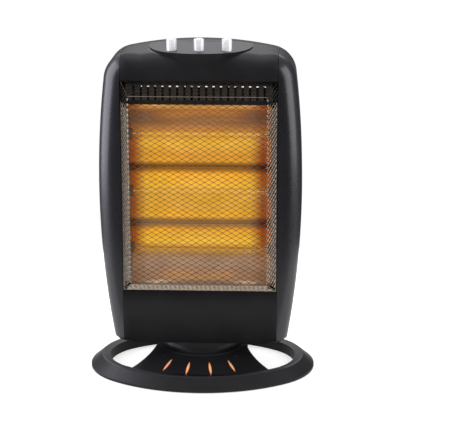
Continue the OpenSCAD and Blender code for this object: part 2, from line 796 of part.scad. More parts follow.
module heat_shield() {
    color(STEEL) difference() {
        block([-end_x - 10, shield_front - 0.8, end_bottom], [end_x + 10, shield_front, shield_top]);
        for (i = [0:lamp_count - 1], x = [-60, 0, 60], s = [-1, 1])
            block([x - 20, shield_front - 2, lamp_z(i) + s * 14 - 2],
                [x + 20, shield_front + 1, lamp_z(i) + s * 14 + 2]);
    }
}

// --- Lamps ---------------------------------------------------------------------------
lamp_half = end_x + 6;

module along_x(i, x0, x1, d) {
    translate([x0, -lamp_front, lamp_z(i)]) rotate([0, 90, 0]) cylinder(h = x1 - x0, d = d);
}

module lamp_tube(i) {
    color("#f4ead6", 0.5) difference() {
        along_x(i, -lamp_half, lamp_half, tube_d);
        along_x(i, -lamp_half - 1, lamp_half + 1, tube_d - 2 * tube_wall);
    }
}

module filament(i) {
    color("#ff9a20") union() {
        along_x(i, -filament_len / 2, filament_len / 2, filament_d);
        along_x(i, -lamp_half - 0.5, lamp_half + 0.5, 1.2);
    }
}

module lamp_caps(i) {
    cap_in = end_x - 4;
    color(CERAMIC) both_sides() difference() {
        union() {
            along_x(i, cap_in, cap_in + cap_len, cap_d);
            along_x(i, end_x + flange_t + 0.1, end_x + flange_t + 3, cap_d + 4);
        }
        along_x(i, cap_in - 1, lamp_half + 0.1, tube_d + 0.1);
        along_x(i, cap_in, lamp_half + 0.7, 2.6);
    }
}

// --- Buttons and switches ------------------------------------------------------------
stem_d = 5;
flange_h = 1.5;
flange_lip = 1;
plunger_sink = 2;
switch_w = 14;
switch_d = 12;
switch_h = 17;
bracket_t = 1;
shelf_under = roof_z - arch_drop(button_pitch) - button_front * tan(shelf_slope) - wall;
flange_top = shelf_under - 2.4;
switch_top = flange_top - flange_h - button_travel - 3;
switch_bottom = switch_top - switch_h;

module button(i) {
    top = shelf_z(i) + button_rise;
    edge = 1.6;
    cap_r = button_d / 2;
    color(SILVER) translate([button_x(i), -button_depth(i), 0]) rotate_extrude() difference() {
        union() {
            translate([0, flange_top - flange_h]) square([cap_r, top - flange_top + flange_h]);
            translate([0, flange_top - flange_h]) square([cap_r + flange_lip, flange_h]);
            translate([0, switch_top - plunger_sink])
                square([stem_d / 2, flange_top - switch_top + plunger_sink]);
        }
        round_corner(cap_r, top, -1, -1, edge);
    }
}

module switch_unit(i) {
    x = button_x(i);
    depth = button_depth(i);
    color("#2b4a6a") difference() {
        union() {
            block([x - switch_w / 2, depth - switch_d / 2, switch_bottom],
                [x + switch_w / 2, depth + switch_d / 2, switch_top]);
            for (s = [-3.5, 3.5])
                block([x + s - 0.4, depth - 2.4, switch_bottom - bracket_t - 4.5],
                    [x + s + 0.4, depth + 2.4, switch_bottom + 1]);
        }
        upright(x, depth, switch_top - plunger_sink - button_travel - 2, switch_top + 1,
            stem_d + 2 * button_gap);
    }
}

bracket_back = button_front - button_back - switch_d / 2 - 3;

module switch_bracket() {
    color(STEEL) difference() {
        union() {
            block([-70, bracket_back, switch_bottom - bracket_t], [70, lip_front - 3, switch_bottom]);
            block([-70, lip_front - 3, switch_bottom - bracket_t], [70, lip_front - 2, bracket_screw_z + 6]);
        }
        for (i = [0:2])
            block([button_x(i) - 5.5, button_depth(i) - 3.4, switch_bottom - 2],
                [button_x(i) + 5.5, button_depth(i) + 3.4, switch_bottom + 1]);
        block([-54, lip_front - 8, switch_bottom], [54, lip_front + 1, bracket_screw_z + 14]);
        for (x = [-bracket_screw_x, bracket_screw_x])
            translate([x, -lip_front + 1, bracket_screw_z]) rotate([90, 0, 0])
                translate([0, 0, -4]) cylinder(h = 8, d = 3.4);
    }
}

// --- Safety parts and wiring block ---------------------------------------------------
module thermal_cutout() {
    color(CERAMIC) translate([40, -shield_front + 0.8, end_top - 24]) rotate([-90, 0, 0]) union() {
        cylinder(h = 1, d = 24);
        cylinder(h = 9, d = 16);
        for (x = [-4, 4]) translate([x - 1.5, -0.4, 8]) cube([3, 0.8, 8]);
    }
}

module terminal_block() {
    color(CERAMIC) difference() {
        block([-98, -30, plate_top], [-62, -14, plate_top + 14]);
        for (x = [-92, -80, -68]) {
            upright(x, -22, plate_top + 5, plate_top + 15, 4);
            translate([x, 10, plate_top + 8]) rotate([-90, 0, 0]) cylinder(h = 24, d = 3);
        }
    }
}

tilt_x = -72;
tilt_pin_z = plate_top + 36;
tilt_pin_d = 3;
bob_d = 16;

module tilt_bracket() {
    color(STEEL) difference() {
        union() {
            block([tilt_x - 9, -8, plate_top], [tilt_x + 9, 16, plate_top + 1]);
            for (x = [-9, 8]) block([tilt_x + x, -2, plate_top], [tilt_x + x + 1, 14, tilt_pin_z + 5]);
        }
        translate([tilt_x - 20, -6, tilt_pin_z]) rotate([0, 90, 0]) cylinder(h = 40, d = tilt_pin_d);
    }
}

module tilt_pin() {
    color(STEEL) translate([tilt_x - 10, -6, tilt_pin_z]) rotate([0, 90, 0]) {
        cylinder(h = 20, d = tilt_pin_d);
        translate([0, 0, -1.5]) cylinder(h = 1.5, d = tilt_pin_d + 2);
    }
}

module tilt_pendulum() {
    color(BRASS) translate([tilt_x, -6, 0]) difference() {
        union() {
            translate([-5, 0, tilt_pin_z]) rotate([0, 90, 0]) cylinder(h = 10, d = 7);
            translate([-1.5, -2, tilt_pin_z - 16]) cube([3, 4, 16]);
            translate([-6, 0, tilt_pin_z - 18]) rotate([0, 90, 0]) cylinder(h = 12, d = bob_d);
            translate([-2, -1, tilt_pin_z + 2]) cube([4, 2, 8]);
        }
        translate([-20, 0, tilt_pin_z]) rotate([0, 90, 0]) cylinder(h = 40, d = tilt_pin_d + 0.1);
    }
}

module tilt_microswitch() {
    color("#303030") union() {
        block([tilt_x + 9, 0, tilt_pin_z + 5.3], [tilt_x + 15, 20, tilt_pin_z + 15.3]);
        block([tilt_x - 12, 0, tilt_pin_z + 11], [tilt_x + 10, 12, tilt_pin_z + 12]);
        block([tilt_x + 9.5, 14.5, plate_top], [tilt_x + 11.5, 20, tilt_pin_z + 6]);
    }
}

// --- Base ----------------------------------------------------------------------------
oval_cx = base_half_w - base_end_r;
oval_cy = (pow(base_half_d - base_end_r, 2) - oval_cx * oval_cx) / (-2 * (base_half_d - base_end_r));
oval_side_r = base_half_d + oval_cy;
oval_turn = atan2(oval_cy, oval_cx);
base_z = 1.5;                          // the moulding clears the floor, on its feet

// Sweeps a section round the oval; its X counts inward from the edge of the base
module round_oval(lap) {
    for (s = [0, 180]) rotate([0, 0, s]) {
        translate([oval_cx, 0, 0]) rotate_extrude(angle = 2 * oval_turn, start = -oval_turn, $fn = 180)
            translate([base_end_r, 0]) children();
        translate([0, -oval_cy, 0]) rotate_extrude(angle = 180 - 2 * oval_turn + 2 * lap,
            start = oval_turn - lap, $fn = 360) translate([oval_side_r, 0]) children();
    }
}

// Everything inside the edge of the oval, drawn in by an inset
module inside_oval(inset, top) {
    difference() {
        block([-base_half_w + inset - 5, -base_half_d + inset - 5, -2],
            [base_half_w - inset + 5, base_half_d - inset + 5, top]);
        round_oval(BOW_LAP) translate([-inset, -3]) square([50, top + 4]);
    }
}

module ring_section(inset) {
    lip = 3;
    polygon([[-inset, base_z - (inset > 0 ? 1 : 0)], [-inset, lip + base_z - inset * 0.5],
        [-bevel_w - inset * 0.4, ring_h - inset], [-bevel_w - 3 - inset * 0.2, ring_h + 0.3 - inset],
        [-ring_w + inset, ring_h - 1.2 - inset], [-ring_w + inset, base_z - (inset > 0 ? 1 : 0)]]);
}

cone_out_r = 100;
cone_out_z = 16;
cone_in_z = 34;
foot_round = 9;

module hub_section(inset) {
    slope = (cone_in_z - cone_out_z) / (cone_out_r - (neck_r + foot_round));
    skirt_r = cone_out_r + 20 - inset;
    bottom = base_z - (inset > 0 ? 1 : 0);
    top = neck_z - (inset > 0 ? neck_plate_t : 0);
    polygon(concat([[0, bottom], [skirt_r, bottom], [skirt_r, cone_out_z - 20 * slope - inset],
        [cone_out_r, cone_out_z - inset], [neck_r + foot_round, cone_in_z - inset]],
        [for (a = [15:15:90]) [neck_r - inset + foot_round * (1 - sin(a)),
            cone_in_z - inset + foot_round * (1 - cos(a))]],
        [[neck_r - inset, top], [0, top]]));
}

// One of the two side openings, grown by a wall
module opening(grow) {
    intersection() {
        inside_oval(ring_w - grow - 0.5, 60);
        translate([web_half_w + web_curve_r - 1, 0, -3]) linear_extrude(70) union() {
            circle(web_curve_r + grow, $fn = 96);
            translate([-web_curve_r - grow, 0]) square([150, 150]);
        }
    }
}

insert_angles = [-31.4, -10.4, 10.4, 31.4];
module insert_shape(w, len) {
    // spindle: two arcs that meet in points
    r = (w * w / 4 + len * len / 4) / w;
    intersection() {
        translate([r - w / 2, 0]) circle(r, $fn = 120);
        translate([w / 2 - r, 0]) circle(r, $fn = 120);
    }
}

module at_insert(a) { rotate([0, 0, a]) translate([0, -insert_r, 0]) children(); }

foot_d = 11;
foot_h = 4;
foot_turn = 20.5;                      // direction of the feet from the centre of the long arcs
foot_run = oval_side_r - (ring_w + 8) / 2;
foot_places = [for (s = [[1, 1], [-1, 1], [-1, -1], [1, -1]])
    [s[0] * foot_run * sin(foot_turn), s[1] * (foot_run * cos(foot_turn) - oval_cy)]];
boss_places = [for (a = [0:90:270]) 66 * [cos(a + 45), sin(a + 45)]];

module base_shell() {
    color(PLASTIC) difference() {
        union() {
            difference() {
                union() {
                    round_oval(BOW_LAP) ring_section(0);
                    intersection() {
                        rotate_extrude($fn = 180) hub_section(0);
                        inside_oval(ring_w - 4, 60);
                    }
                }
                difference() {
                    union() {
                        round_oval(BOW_LAP) ring_section(base_wall);
                        intersection() {
                            rotate_extrude($fn = 180) hub_section(base_wall);
                            inside_oval(ring_w + 1, 60);
                        }
                    }
                    both_sides() opening(base_wall);
                }
            }
            for (p = foot_places) upright(p[0], p[1], foot_h, ring_h - 2.5, foot_d - 2);
            for (p = boss_places) upright(p[0], p[1], boss_bottom, cone_in_z - base_wall - 1, 9);
        }
        both_sides() opening(0);
        upright(0, 0, 0, 100, post_d + 0.4);
        for (a = insert_angles) at_insert(a) linear_extrude(100) insert_shape(insert_w, insert_len);
        for (p = foot_places) upright(p[0], p[1], foot_h - 1, foot_h + 5, 5);
        for (p = boss_places) upright(p[0], p[1], 8, 18, 3);
        for (a = [45:90:315]) rotate([0, 0, a]) translate([flange_screw_r, 0, neck_z - 8])
            cylinder(h = 20, d = 3.4);
    }
}

// Band that follows the cone of the web, between two depths under its surface
module cone_band(top, bottom) {
    slope = (cone_in_z - cone_out_z) / (cone_out_r - (neck_r + foot_round));
    rotate_extrude($fn = 180) polygon([for (p = [[neck_r + foot_round, -top], [cone_out_r, -top],
        [cone_out_r, -bottom], [neck_r + foot_round, -bottom]])
        [p[0], cone_out_z + (cone_out_r - p[0]) * slope + p[1]]]);
}

module base_insert(i) {
    fit = 0.2;
    color(ORANGE) union() {
        intersection() {
            cone_band(-0.8, base_wall + 0.6);
            at_insert(insert_angles[i]) linear_extrude(60)
                insert_shape(insert_w - fit, insert_len - 2 * fit);
        }
        intersection() {
            cone_band(base_wall + 0.1, base_wall + 1.2);
            upright(0, 0, 0, 60, 2 * (base_half_d - ring_w - 2.5));
            at_insert(insert_angles[i]) linear_extrude(60) insert_shape(insert_w + 3, insert_len + 3);
        }
    }
}

ballast_t = 5;
boss_bottom = 9;

module ballast_plate() {
    half_w = web_half_w - base_wall - 5;
    half_d = base_half_d - ring_w - 13;
    color(STEEL) difference() {
        block([-half_w, -half_d, boss_bottom - ballast_t], [half_w, half_d, boss_bottom]);
        for (p = boss_places) upright(p[0], p[1], 0, 20, 4);
        upright(0, 0, 0, 20, 30);
    }
}

module base_screws() {
    flange_z = neck_z - neck_plate_t - post_flange_t;
    color(STEEL) {
        for (p = boss_places) {
            upright(p[0], p[1], boss_bottom - ballast_t - 1.8, boss_bottom - ballast_t, 7);
            upright(p[0], p[1], boss_bottom - ballast_t - 1, boss_bottom + 8, 2.8);
        }
        for (a = [45:90:315]) rotate([0, 0, a]) translate([flange_screw_r, 0, 0]) {
            upright(0, 0, flange_z - 2, flange_z, 6.4);
            upright(0, 0, flange_z - 1, neck_z - 0.4, 3.2);
        }
    }
}

module foot(i) {
    color(RUBBER) union() {
        upright(foot_places[i][0], foot_places[i][1], 0, foot_h, foot_d);
        upright(foot_places[i][0], foot_places[i][1], foot_h - 1, foot_h + 4.6, 4.8);
    }
}

upper_fascia();
lower_fascia();
left_side_cover();
right_side_cover();
rear_cover();
bottom_plate();
guard_mesh();
guard_clips();
reflector();
reflector_end_left();
reflector_end_right();
heat_shield();
lamp_tube(0);  // lamp_tube_1
lamp_tube(1);  // lamp_tube_2
lamp_tube(2);  // lamp_tube_3
filament(0);  // filament_1
filament(1);  // filament_2
filament(2);  // filament_3
lamp_caps(0);  // lamp_caps_1
lamp_caps(1);  // lamp_caps_2
lamp_caps(2);  // lamp_caps_3
button(0);  // button_1
button(1);  // button_2
button(2);  // button_3
switch_unit(0);  // switch_1
switch_unit(1);  // switch_2
switch_unit(2);  // switch_3
switch_bracket();
thermal_cutout();
terminal_block();
cord_gland();
tilt_bracket();
tilt_pin();
tilt_pendulum();
tilt_microswitch();
swing_motor();
motor_crank();
drive_link();
swivel_bush();
rear_screws();
base_shell();
base_insert(0);  // base_insert_1
base_insert(1);  // base_insert_2
base_insert(2);  // base_insert_3
base_insert(3);  // base_insert_4
ballast_plate();
slip_washer();
swivel_post();
post_washer();
post_nut();
anchor_arm();
base_screws();
foot(0);  // foot_1
foot(1);  // foot_2
foot(2);  // foot_3
foot(3);  // foot_4
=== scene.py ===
# %% [markdown]
# # A portable halogen heater
# Three quartz lamps glow in front of a bright reflector, behind a guard of expanded
# metal. The body is moulded black plastic and swings on an oval base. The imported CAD
# model is the fixed frame: it says where each piece is, in metres, with the guard
# facing -Y. Each step below makes one group of pieces around that frame.

# %% Load the frame
import math

import bmesh
import bpy
from mathutils import Matrix, Vector


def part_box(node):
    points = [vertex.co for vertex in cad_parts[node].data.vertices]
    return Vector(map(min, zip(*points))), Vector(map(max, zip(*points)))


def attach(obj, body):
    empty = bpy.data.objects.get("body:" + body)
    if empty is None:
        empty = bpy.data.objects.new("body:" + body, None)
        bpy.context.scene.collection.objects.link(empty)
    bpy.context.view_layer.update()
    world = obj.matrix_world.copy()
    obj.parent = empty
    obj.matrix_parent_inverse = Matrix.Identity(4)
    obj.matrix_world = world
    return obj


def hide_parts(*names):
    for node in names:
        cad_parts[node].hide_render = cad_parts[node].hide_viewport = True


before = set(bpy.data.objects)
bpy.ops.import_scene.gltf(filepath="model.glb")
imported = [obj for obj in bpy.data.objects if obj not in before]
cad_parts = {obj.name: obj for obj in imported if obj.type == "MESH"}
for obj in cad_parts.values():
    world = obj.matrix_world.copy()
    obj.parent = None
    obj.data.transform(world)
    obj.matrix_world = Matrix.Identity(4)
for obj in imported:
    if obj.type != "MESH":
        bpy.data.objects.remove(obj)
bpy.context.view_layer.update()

# %% [markdown]
# ## Units, colours and nodes
# Real sizes are written in millimetres and multiplied by MM. Colours are written as
# the hex values one would pick from a picture; Blender's sockets want linear light.
# One small function adds a shader node, sets its options and inputs, and links it.

# %% Small helpers for every step
MM = 0.001
TIMES, HIGHER, SIZE_OF = ({"operation": o} for o in ("MULTIPLY", "MAXIMUM", "ABSOLUTE"))
scene = bpy.context.scene
scene.view_settings.view_transform = "Standard"


def linear(hex_colour):
    """An sRGB hex colour as the linear RGBA that Blender's sockets take."""
    values = [int(hex_colour[i:i + 2], 16) / 255 for i in (1, 3, 5)]
    return [v / 12.92 if v <= 0.04045 else ((v + 0.055) / 1.055) ** 2.4 for v in values] + [1.0]


def add(tree, kind, settings=None, stops=None, **inputs):
    """Adds a node with its options, colour stops and inputs, and returns it.

    An input is a value, another node's output, or a node, which stands for its first
    output. _1 is the number of an input. From and To take a (Min, Max) pair.
    """
    node = tree.nodes.new("ShaderNode" + kind)
    for name, value in (settings or {}).items():
        setattr(node, name, value)
    if stops:
        elements = node.color_ramp.elements
        while len(elements) < len(stops):
            elements.new(0.5)
        for element, (position, colour) in zip(elements, stops.items()):
            element.position = position
            element.color = linear(colour)
    for name in {"From", "To"} & set(inputs):
        inputs[name + "_Min"], inputs[name + "_Max"] = inputs.pop(name)
    for name, value in inputs.items():
        socket = node.inputs[int(name[1:]) if name[0] == "_" else name.replace("_", " ")]
        if isinstance(value, bpy.types.Node):
            value = value.outputs[0]
        if isinstance(value, bpy.types.NodeSocket):
            tree.links.new(value, socket)
        else:
            socket.default_value = value
    return node


def new_material(name):
    """A new material, its empty tree, and the object coordinates to draw with."""
    material = bpy.data.materials.new(name)
    material.use_nodes = True
    tree = material.node_tree
    tree.nodes.clear()
    return material, tree, add(tree, "TexCoord").outputs["Object"]


def mm(*lengths):
    """Lengths given in millimetres, in metres."""
    return [length * MM for length in lengths]


def at_mm(x, depth, z):
    """A point in metres, from millimetres across, to the front and up."""
    return mm(x, -depth, z)


def mottle(tree, place, size_mm, dark, light, detail=2.0, spread=0.2):
    """Soft patches of two tones, of a size in mm: their pattern, and their colour."""
    noise = add(tree, "TexNoise", Vector=place, Scale=1 / (size_mm * MM), Detail=detail)
    stops = {0.5 - spread: dark, 0.5 + spread: light}
    return noise, add(tree, "ValToRGB", stops=stops, Fac=noise)


def show(name, data):
    """Puts a mesh, curve, light or camera into the scene as an object."""
    thing = bpy.data.objects.new(name, data)
    scene.collection.objects.link(thing)
    return thing


def object_from(bm, name):
    """Turns a bmesh into an object with outward normals."""
    bmesh.ops.recalc_face_normals(bm, faces=bm.faces)
    mesh = bpy.data.meshes.new(name)
    bm.to_mesh(mesh)
    bm.free()
    return show(name, mesh)


def bridge(bm, ring, after, slot=0):
    """Faces all the way round between two rings, of which one may be a single point."""
    count = max(len(ring), len(after))
    for i in range(count):
        j = (i + 1) % count
        corners = (ring[i % len(ring)], ring[j % len(ring)],
                   after[j % len(after)], after[i % len(after)])
        bm.faces.new(list(dict.fromkeys(corners))).material_index = slot


def smooth(piece, sharp=None):
    """Shades a piece smooth, but not across edges that turn more than sharp degrees."""
    for polygon in piece.data.polygons:
        polygon.use_smooth = True
    if sharp:
        piece.data.set_sharp_from_angle(angle=math.radians(sharp))


print("helpers ready; mid grey is", [round(v, 3) for v in linear("#808080")[:3]])

# %% [markdown]
# ## Camera
# The photograph looks slightly down on the heater from a little to its right, through
# a long lens, as catalogue pictures do. The focal length is given in pixels of the
# 461 pixel wide picture and turned into millimetres on a 36 mm sensor.

# %% Place the camera
PICTURE_W = 461
FOCAL_PIXELS = 1540
CAMERA_TURN = math.radians(3.5)      # how far the camera stands round to the right
CAMERA_DIP = math.radians(15.14)     # how far it looks down
CAMERA_PAN = math.radians(1.1)       # the heater stands left of the middle
CAMERA_RUN = 2.026                   # how far it stands back, over the floor
CAMERA_HEIGHT = 0.757

lens = bpy.data.cameras.new("camera")
lens.lens = FOCAL_PIXELS / PICTURE_W * lens.sensor_width
camera = show("camera", lens)
camera.location = (CAMERA_RUN * math.sin(CAMERA_TURN), -CAMERA_RUN * math.cos(CAMERA_TURN),
                   CAMERA_HEIGHT)
camera.rotation_euler = (math.pi / 2 - CAMERA_DIP, 0, CAMERA_TURN - CAMERA_PAN)
scene.camera = camera
print("lens", round(lens.lens, 1), "mm")

# %% [markdown]
# ## Studio
# A round sheet of white paper lies under the heater, in a white surround. Looked at
# straight or through the quartz, the surround is plain white, and the paper is lifted so
# far that it is white too and keeps only the heater's shadow. Black plastic looks black
# only where it mirrors something dark, so in mirrors the room is dim in front, behind
# and on the right, and the paper ahead of the heater is dark, as if a black card lay
# there. Two tall soft boxes at the sides draw the long highlights on the side covers;
# two weaker ones light the top and the back.

# %% Paper floor
WHITE_PAPER, PAPER_SHADE, BLACK_CARD = "#d2d2d2", "#cacaca", "#101010"
PAPER_R = 0.6


def rays(tree):
    """1 for rays from the camera and through glass, and 1 for those from mirrors."""
    path = add(tree, "LightPath").outputs
    direct = add(tree, "Math", HIGHER, _0=path["Is Camera Ray"], _1=path["Is Transmission Ray"])
    return direct, path["Is Glossy Ray"]


def paper_floor():
    """Paper that is lifted to white, the more the farther it lies from the heater."""
    material, tree, place = new_material("seamless_paper")
    tone = mottle(tree, place, 2.5, PAPER_SHADE, WHITE_PAPER)[1]
    reach = add(tree, "VectorMath", {"operation": "LENGTH"}, _0=place).outputs["Value"]
    lift = add(tree, "MapRange", Value=reach, From=(0.15, PAPER_R - 0.05), To=(0.68, 0.95))
    ahead = add(tree, "SeparateXYZ", Vector=place).outputs["Y"]
    card = add(tree, "MapRange", Value=ahead, From=(-0.15, -0.2), To=(0.25, 0.8))
    direct, glossy = rays(tree)
    card = add(tree, "Math", TIMES, _0=card, _1=glossy)
    tone = add(tree, "MixRGB", Fac=card, Color1=tone, Color2=linear(BLACK_CARD))
    mirrored = add(tree, "Math", TIMES, _0=glossy, _1=0.3)
    seen = add(tree, "Math", HIGHER, _0=direct, _1=mirrored)
    seen = add(tree, "Math", TIMES, _0=seen, _1=lift)
    paper = add(tree, "BsdfPrincipled", Base_Color=tone, Roughness=0.95,
                Specular_IOR_Level=0.1, Emission_Color=(1, 1, 1, 1), Emission_Strength=seen)
    add(tree, "OutputMaterial", Surface=paper)
    return material


bm = bmesh.new()
bmesh.ops.create_circle(bm, cap_ends=True, segments=128, radius=PAPER_R)
floor = object_from(bm, "floor")
floor.data.materials.append(paper_floor())
print("studio: paper", WHITE_PAPER)

# %% White surround, with a dim room for mirrors only
world = bpy.data.worlds.new("surround")
scene.world = world
world.use_nodes = True
sky = world.node_tree
sky.nodes.clear()
direct, glossy = rays(sky)
aim = add(sky, "SeparateXYZ", Vector=add(sky, "TexCoord").outputs["Generated"]).outputs
# how bright each side of the room is in mirrors: (axis, from, to, brightness at each)
FADES = {"ceiling": ("Z", 0.1, 0.5, 0.0, 0.75), "overhead": ("Y", -0.4, 0.6, 0.2, 1.0),
         "front": ("Y", -0.8, 0.0, 0.14, 0.75), "back": ("Y", 0.25, 0.7, 1.0, 0.25),
         "right": ("X", -0.3, 0.5, 1.0, 0.45)}
fade = {name: add(sky, "MapRange", Value=aim[axis], From=(start, end), To=(first, last))
        for name, (axis, start, end, first, last) in FADES.items()}
walls = add(sky, "Math", TIMES, _0=fade["front"], _1=fade["back"])
above = add(sky, "Math", TIMES, _0=fade["ceiling"], _1=fade["overhead"])
room = add(sky, "Math", HIGHER, _0=above, _1=walls)
room = add(sky, "Math", TIMES, _0=room, _1=fade["right"])
plain = add(sky, "Background", Color=(1, 1, 1, 1), Strength=0.95)
mirrored = add(sky, "Background", Color=(0.94, 0.93, 1, 1), Strength=room)
white = add(sky, "Background", Color=(1, 1, 1, 1), Strength=1.0)
light = add(sky, "MixShader", _0=glossy, _1=plain, _2=mirrored)
surround = add(sky, "MixShader", _0=direct, _1=light, _2=white)
add(sky, "OutputWorld", Surface=surround)
print("surround:", len(sky.nodes), "nodes")

# %% Soft boxes


def soft_box(name, place, target, size, power):
    """A rectangular soft box at place, turned to target."""
    light = bpy.data.lights.new(name, "AREA")
    light.shape = "RECTANGLE"
    light.size, light.size_y = size
    light.energy = power
    box = show(name, light)
    box.location = place
    box.rotation_euler = (Vector(place) - Vector(target)).to_track_quat("Z", "Y").to_euler()
    box.visible_camera = False
    return box


left = soft_box("box_left", (-1.6, -0.05, 0.72), (0, 0, 0.25), (1.6, 1.8), 24)
left.data.color = (0.9, 0.87, 1.0)
soft_box("box_right", (1.6, -0.36, 0.72), (0, 0, 0.25), (1.2, 1.6), 12)
soft_box("box_top", (0.1, 0.4, 2.0), (0, 0, 0.4), (1.4, 1.2), 4)
soft_box("box_back", (0, 1.8, 1.35), (0, 0, 0.4), (1.8, 0.9), 4)
print("soft boxes:", len(bpy.data.lights))

# %% [markdown]
# ## Moulded black plastic
# The fascias, the rear cover and the base are ABS, moulded in a tool whose faces were
# spark eroded: that leaves a fine even grain that breaks up reflections. The two side
# covers come from a polished tool, so the same black plastic mirrors the studio there.
# Real spark grain is about 0.2 mm, too fine for the picture, so it is drawn at 0.8 mm.
# A texture image could carry the grain, but noise in object space needs no unwrapping.

# %% Black ABS, grained and polished


def moulded_abs(name, dark, light, roughness, gloss=0.5, grain_mm=0.8, grain_depth_mm=0.03):
    """Black ABS: two close tones in slow clouds, and a grain in the surface."""
    material, tree, place = new_material(name)
    tone = mottle(tree, place, 40, dark, light, 3.0, 0.15)[1]
    grain = add(tree, "TexNoise", Vector=place, Scale=1 / (grain_mm * MM), Detail=1.0)
    rough = add(tree, "MapRange", Value=grain, To=(roughness * 0.85, roughness * 1.15))
    bump = add(tree, "Bump", Strength=0.6, Distance=grain_depth_mm * MM, Height=grain)
    abs_plastic = add(tree, "BsdfPrincipled", Base_Color=tone, Roughness=rough, IOR=1.54,
                      Specular_IOR_Level=gloss, Normal=bump)
    add(tree, "OutputMaterial", Surface=abs_plastic)
    return material


grained_abs = moulded_abs("spark_grained_abs", "#141416", "#19191b", 0.42, 0.28)
polished_abs = moulded_abs("polished_abs", "#16161b", "#1a1a20", 0.26, 0.75, 6.0, 0.01)
shelf_abs = moulded_abs("spark_grained_abs_shelf", "#1a1a1c", "#202022", 0.38)
lower_abs = moulded_abs("spark_grained_abs_lower", "#141416", "#19191b", 0.42)
base_abs = moulded_abs("spark_grained_abs_base", "#121215", "#18181a", 0.36, 0.34)
print("plastics:", grained_abs.name, polished_abs.name, shelf_abs.name, lower_abs.name,
      base_abs.name)

# %% [markdown]
# ## Where the grain is smooth, and where light and shade are painted
# Three of the mouldings aren't the same all over. The shelf's top is smoother, and the bars between
# the vent slots under it are lighter, a painted highlight. The lower fascia's grain is duller low
# down and just under the guard, a painted shade. The narrow top of the base's ring is a little
# greyer, a painted highlight. Masks worked out from a point's place and facing need no texture
# painting.

# %% Masks on the shelf, the lower fascia and the base
SHELF_R, SHELF_ROOT_R, SHELF_CENTRE, SHELF_HALF_W = 72, 59, -2, 69
BARS_BOTTOM, BARS_TOP, BARS_FRONT = 383.5, 403, 50.2
# colours of painted highlights: the bars between the vent slots and the top of the base's ring
SLOT_BAR_HIGHLIGHT, RING_TOP_HIGHLIGHT = "#3b3631", "#333337"


def reopened(material):
    """A plastic's tree, shader and tone, with each point's place and facing."""
    tree = material.node_tree
    shader = tree.nodes["Principled BSDF"]
    tone = shader.inputs["Base Color"].links[0].from_socket
    coords = add(tree, "TexCoord").outputs
    at = add(tree, "SeparateXYZ", Vector=coords["Object"]).outputs
    facing = add(tree, "SeparateXYZ", Vector=coords["Normal"]).outputs
    return tree, shader, tone, at, facing


tree, shader, tone, at, facing = reopened(shelf_abs)
on_plan = add(tree, "Mapping", Vector=add(tree, "TexCoord").outputs["Object"],
              Location=(0, SHELF_CENTRE * MM, 0), Scale=(1, 1, 0))
reach = add(tree, "VectorMath", {"operation": "LENGTH"}, _0=on_plan).outputs["Value"]
within = add(tree, "MapRange", Value=reach, From=mm(SHELF_R - 0.8, SHELF_R), To=(1.0, 0.0))
beside = add(tree, "Math", SIZE_OF, _0=at["X"])
between = add(tree, "MapRange", Value=beside, From=mm(SHELF_HALF_W - 0.5, SHELF_HALF_W),
              To=(1.0, 0.0))
level = add(tree, "MapRange", Value=facing["Z"], From=(0.85, 0.95))
top = add(tree, "Math", TIMES, _0=within, _1=between)
top = add(tree, "Math", TIMES, _0=top, _1=level)
gloss = add(tree, "MapRange", Value=top, To=(0.28, 0.74))
tree.links.new(gloss.outputs[0], shader.inputs["Specular IOR Level"])
# painted highlight: the bars between the vent slots are made lighter, as ribs catching the light
# would look
above = add(tree, "MapRange", Value=at["Z"], From=mm(BARS_BOTTOM - 1, BARS_BOTTOM))
below = add(tree, "MapRange", Value=at["Z"], From=mm(BARS_TOP + 1, BARS_TOP))
behind = add(tree, "MapRange", Value=at["Y"], From=mm(-(BARS_FRONT + 0.8), -BARS_FRONT))
bars = add(tree, "Math", TIMES, _0=above, _1=behind)
bars = add(tree, "Math", TIMES, _0=bars, _1=below)
painted_sheen = add(tree, "MixRGB", Fac=bars, Color1=tone, Color2=linear(SLOT_BAR_HIGHLIGHT))
tree.links.new(painted_sheen.outputs[0], shader.inputs["Base Color"])

tree, shader, tone, at, facing = reopened(lower_abs)
# painted shade: the gloss falls off towards the floor and just under the guard, where shade falls
painted_shade_low = add(tree, "MapRange", Value=at["Z"], From=mm(56, 95), To=(0.06, 0.42))
painted_shade_under_guard = add(tree, "MapRange", Value=at["Z"], From=mm(108, 124), To=(1.0, 0.3))
gloss = add(tree, "Math", TIMES, _0=painted_shade_low, _1=painted_shade_under_guard)
tree.links.new(gloss.outputs[0], shader.inputs["Specular IOR Level"])

tree, shader, tone, at, facing = reopened(base_abs)
# painted highlight: where the base faces up, on the top of its ring, the colour is greyer
ring_top = add(tree, "MapRange", Value=facing["Z"], From=(0.93, 0.97))
painted_sheen = add(tree, "MixRGB", Fac=ring_top, Color1=tone, Color2=linear(RING_TOP_HIGHLIGHT))
tree.links.new(painted_sheen.outputs[0], shader.inputs["Base Color"])
print("masked plastics: 3")

# %% [markdown]
# ## The outline of the body
# Seen from the front, the body is two long bows, two shoulders and an arched roof.
# Walking round that outline gives stations: a point and the direction outward. A
# profile, which runs from the open edge at the side seam over the rounded front edge to
# the flat face and back along the inside, is then skinned round all the stations. A box
# with a bevel would be quicker, but couldn't follow the bows.

# %% Stations round the outline
SIDE_R, WIDE_Z, HALF_W = 1220, 262, 135.6
ROOF_R, ROOF_Z = 480, 453
SHOULDER_R = 38
FLOOR_Z = 51
RUN_ON = 6.12            # the bows run on below the floor, where the blocks cut them off
KEEL_IN, KEEL_DROP = 40, 24
FRONT, REAR = 57, 53
FRONT_EDGE_R, REAR_EDGE_R = 28, 20
WALL, SEAM_GAP = 2.6, 0.5
SEAM_X, SEAM_Y = 103, 18
GUARD_Z = 126

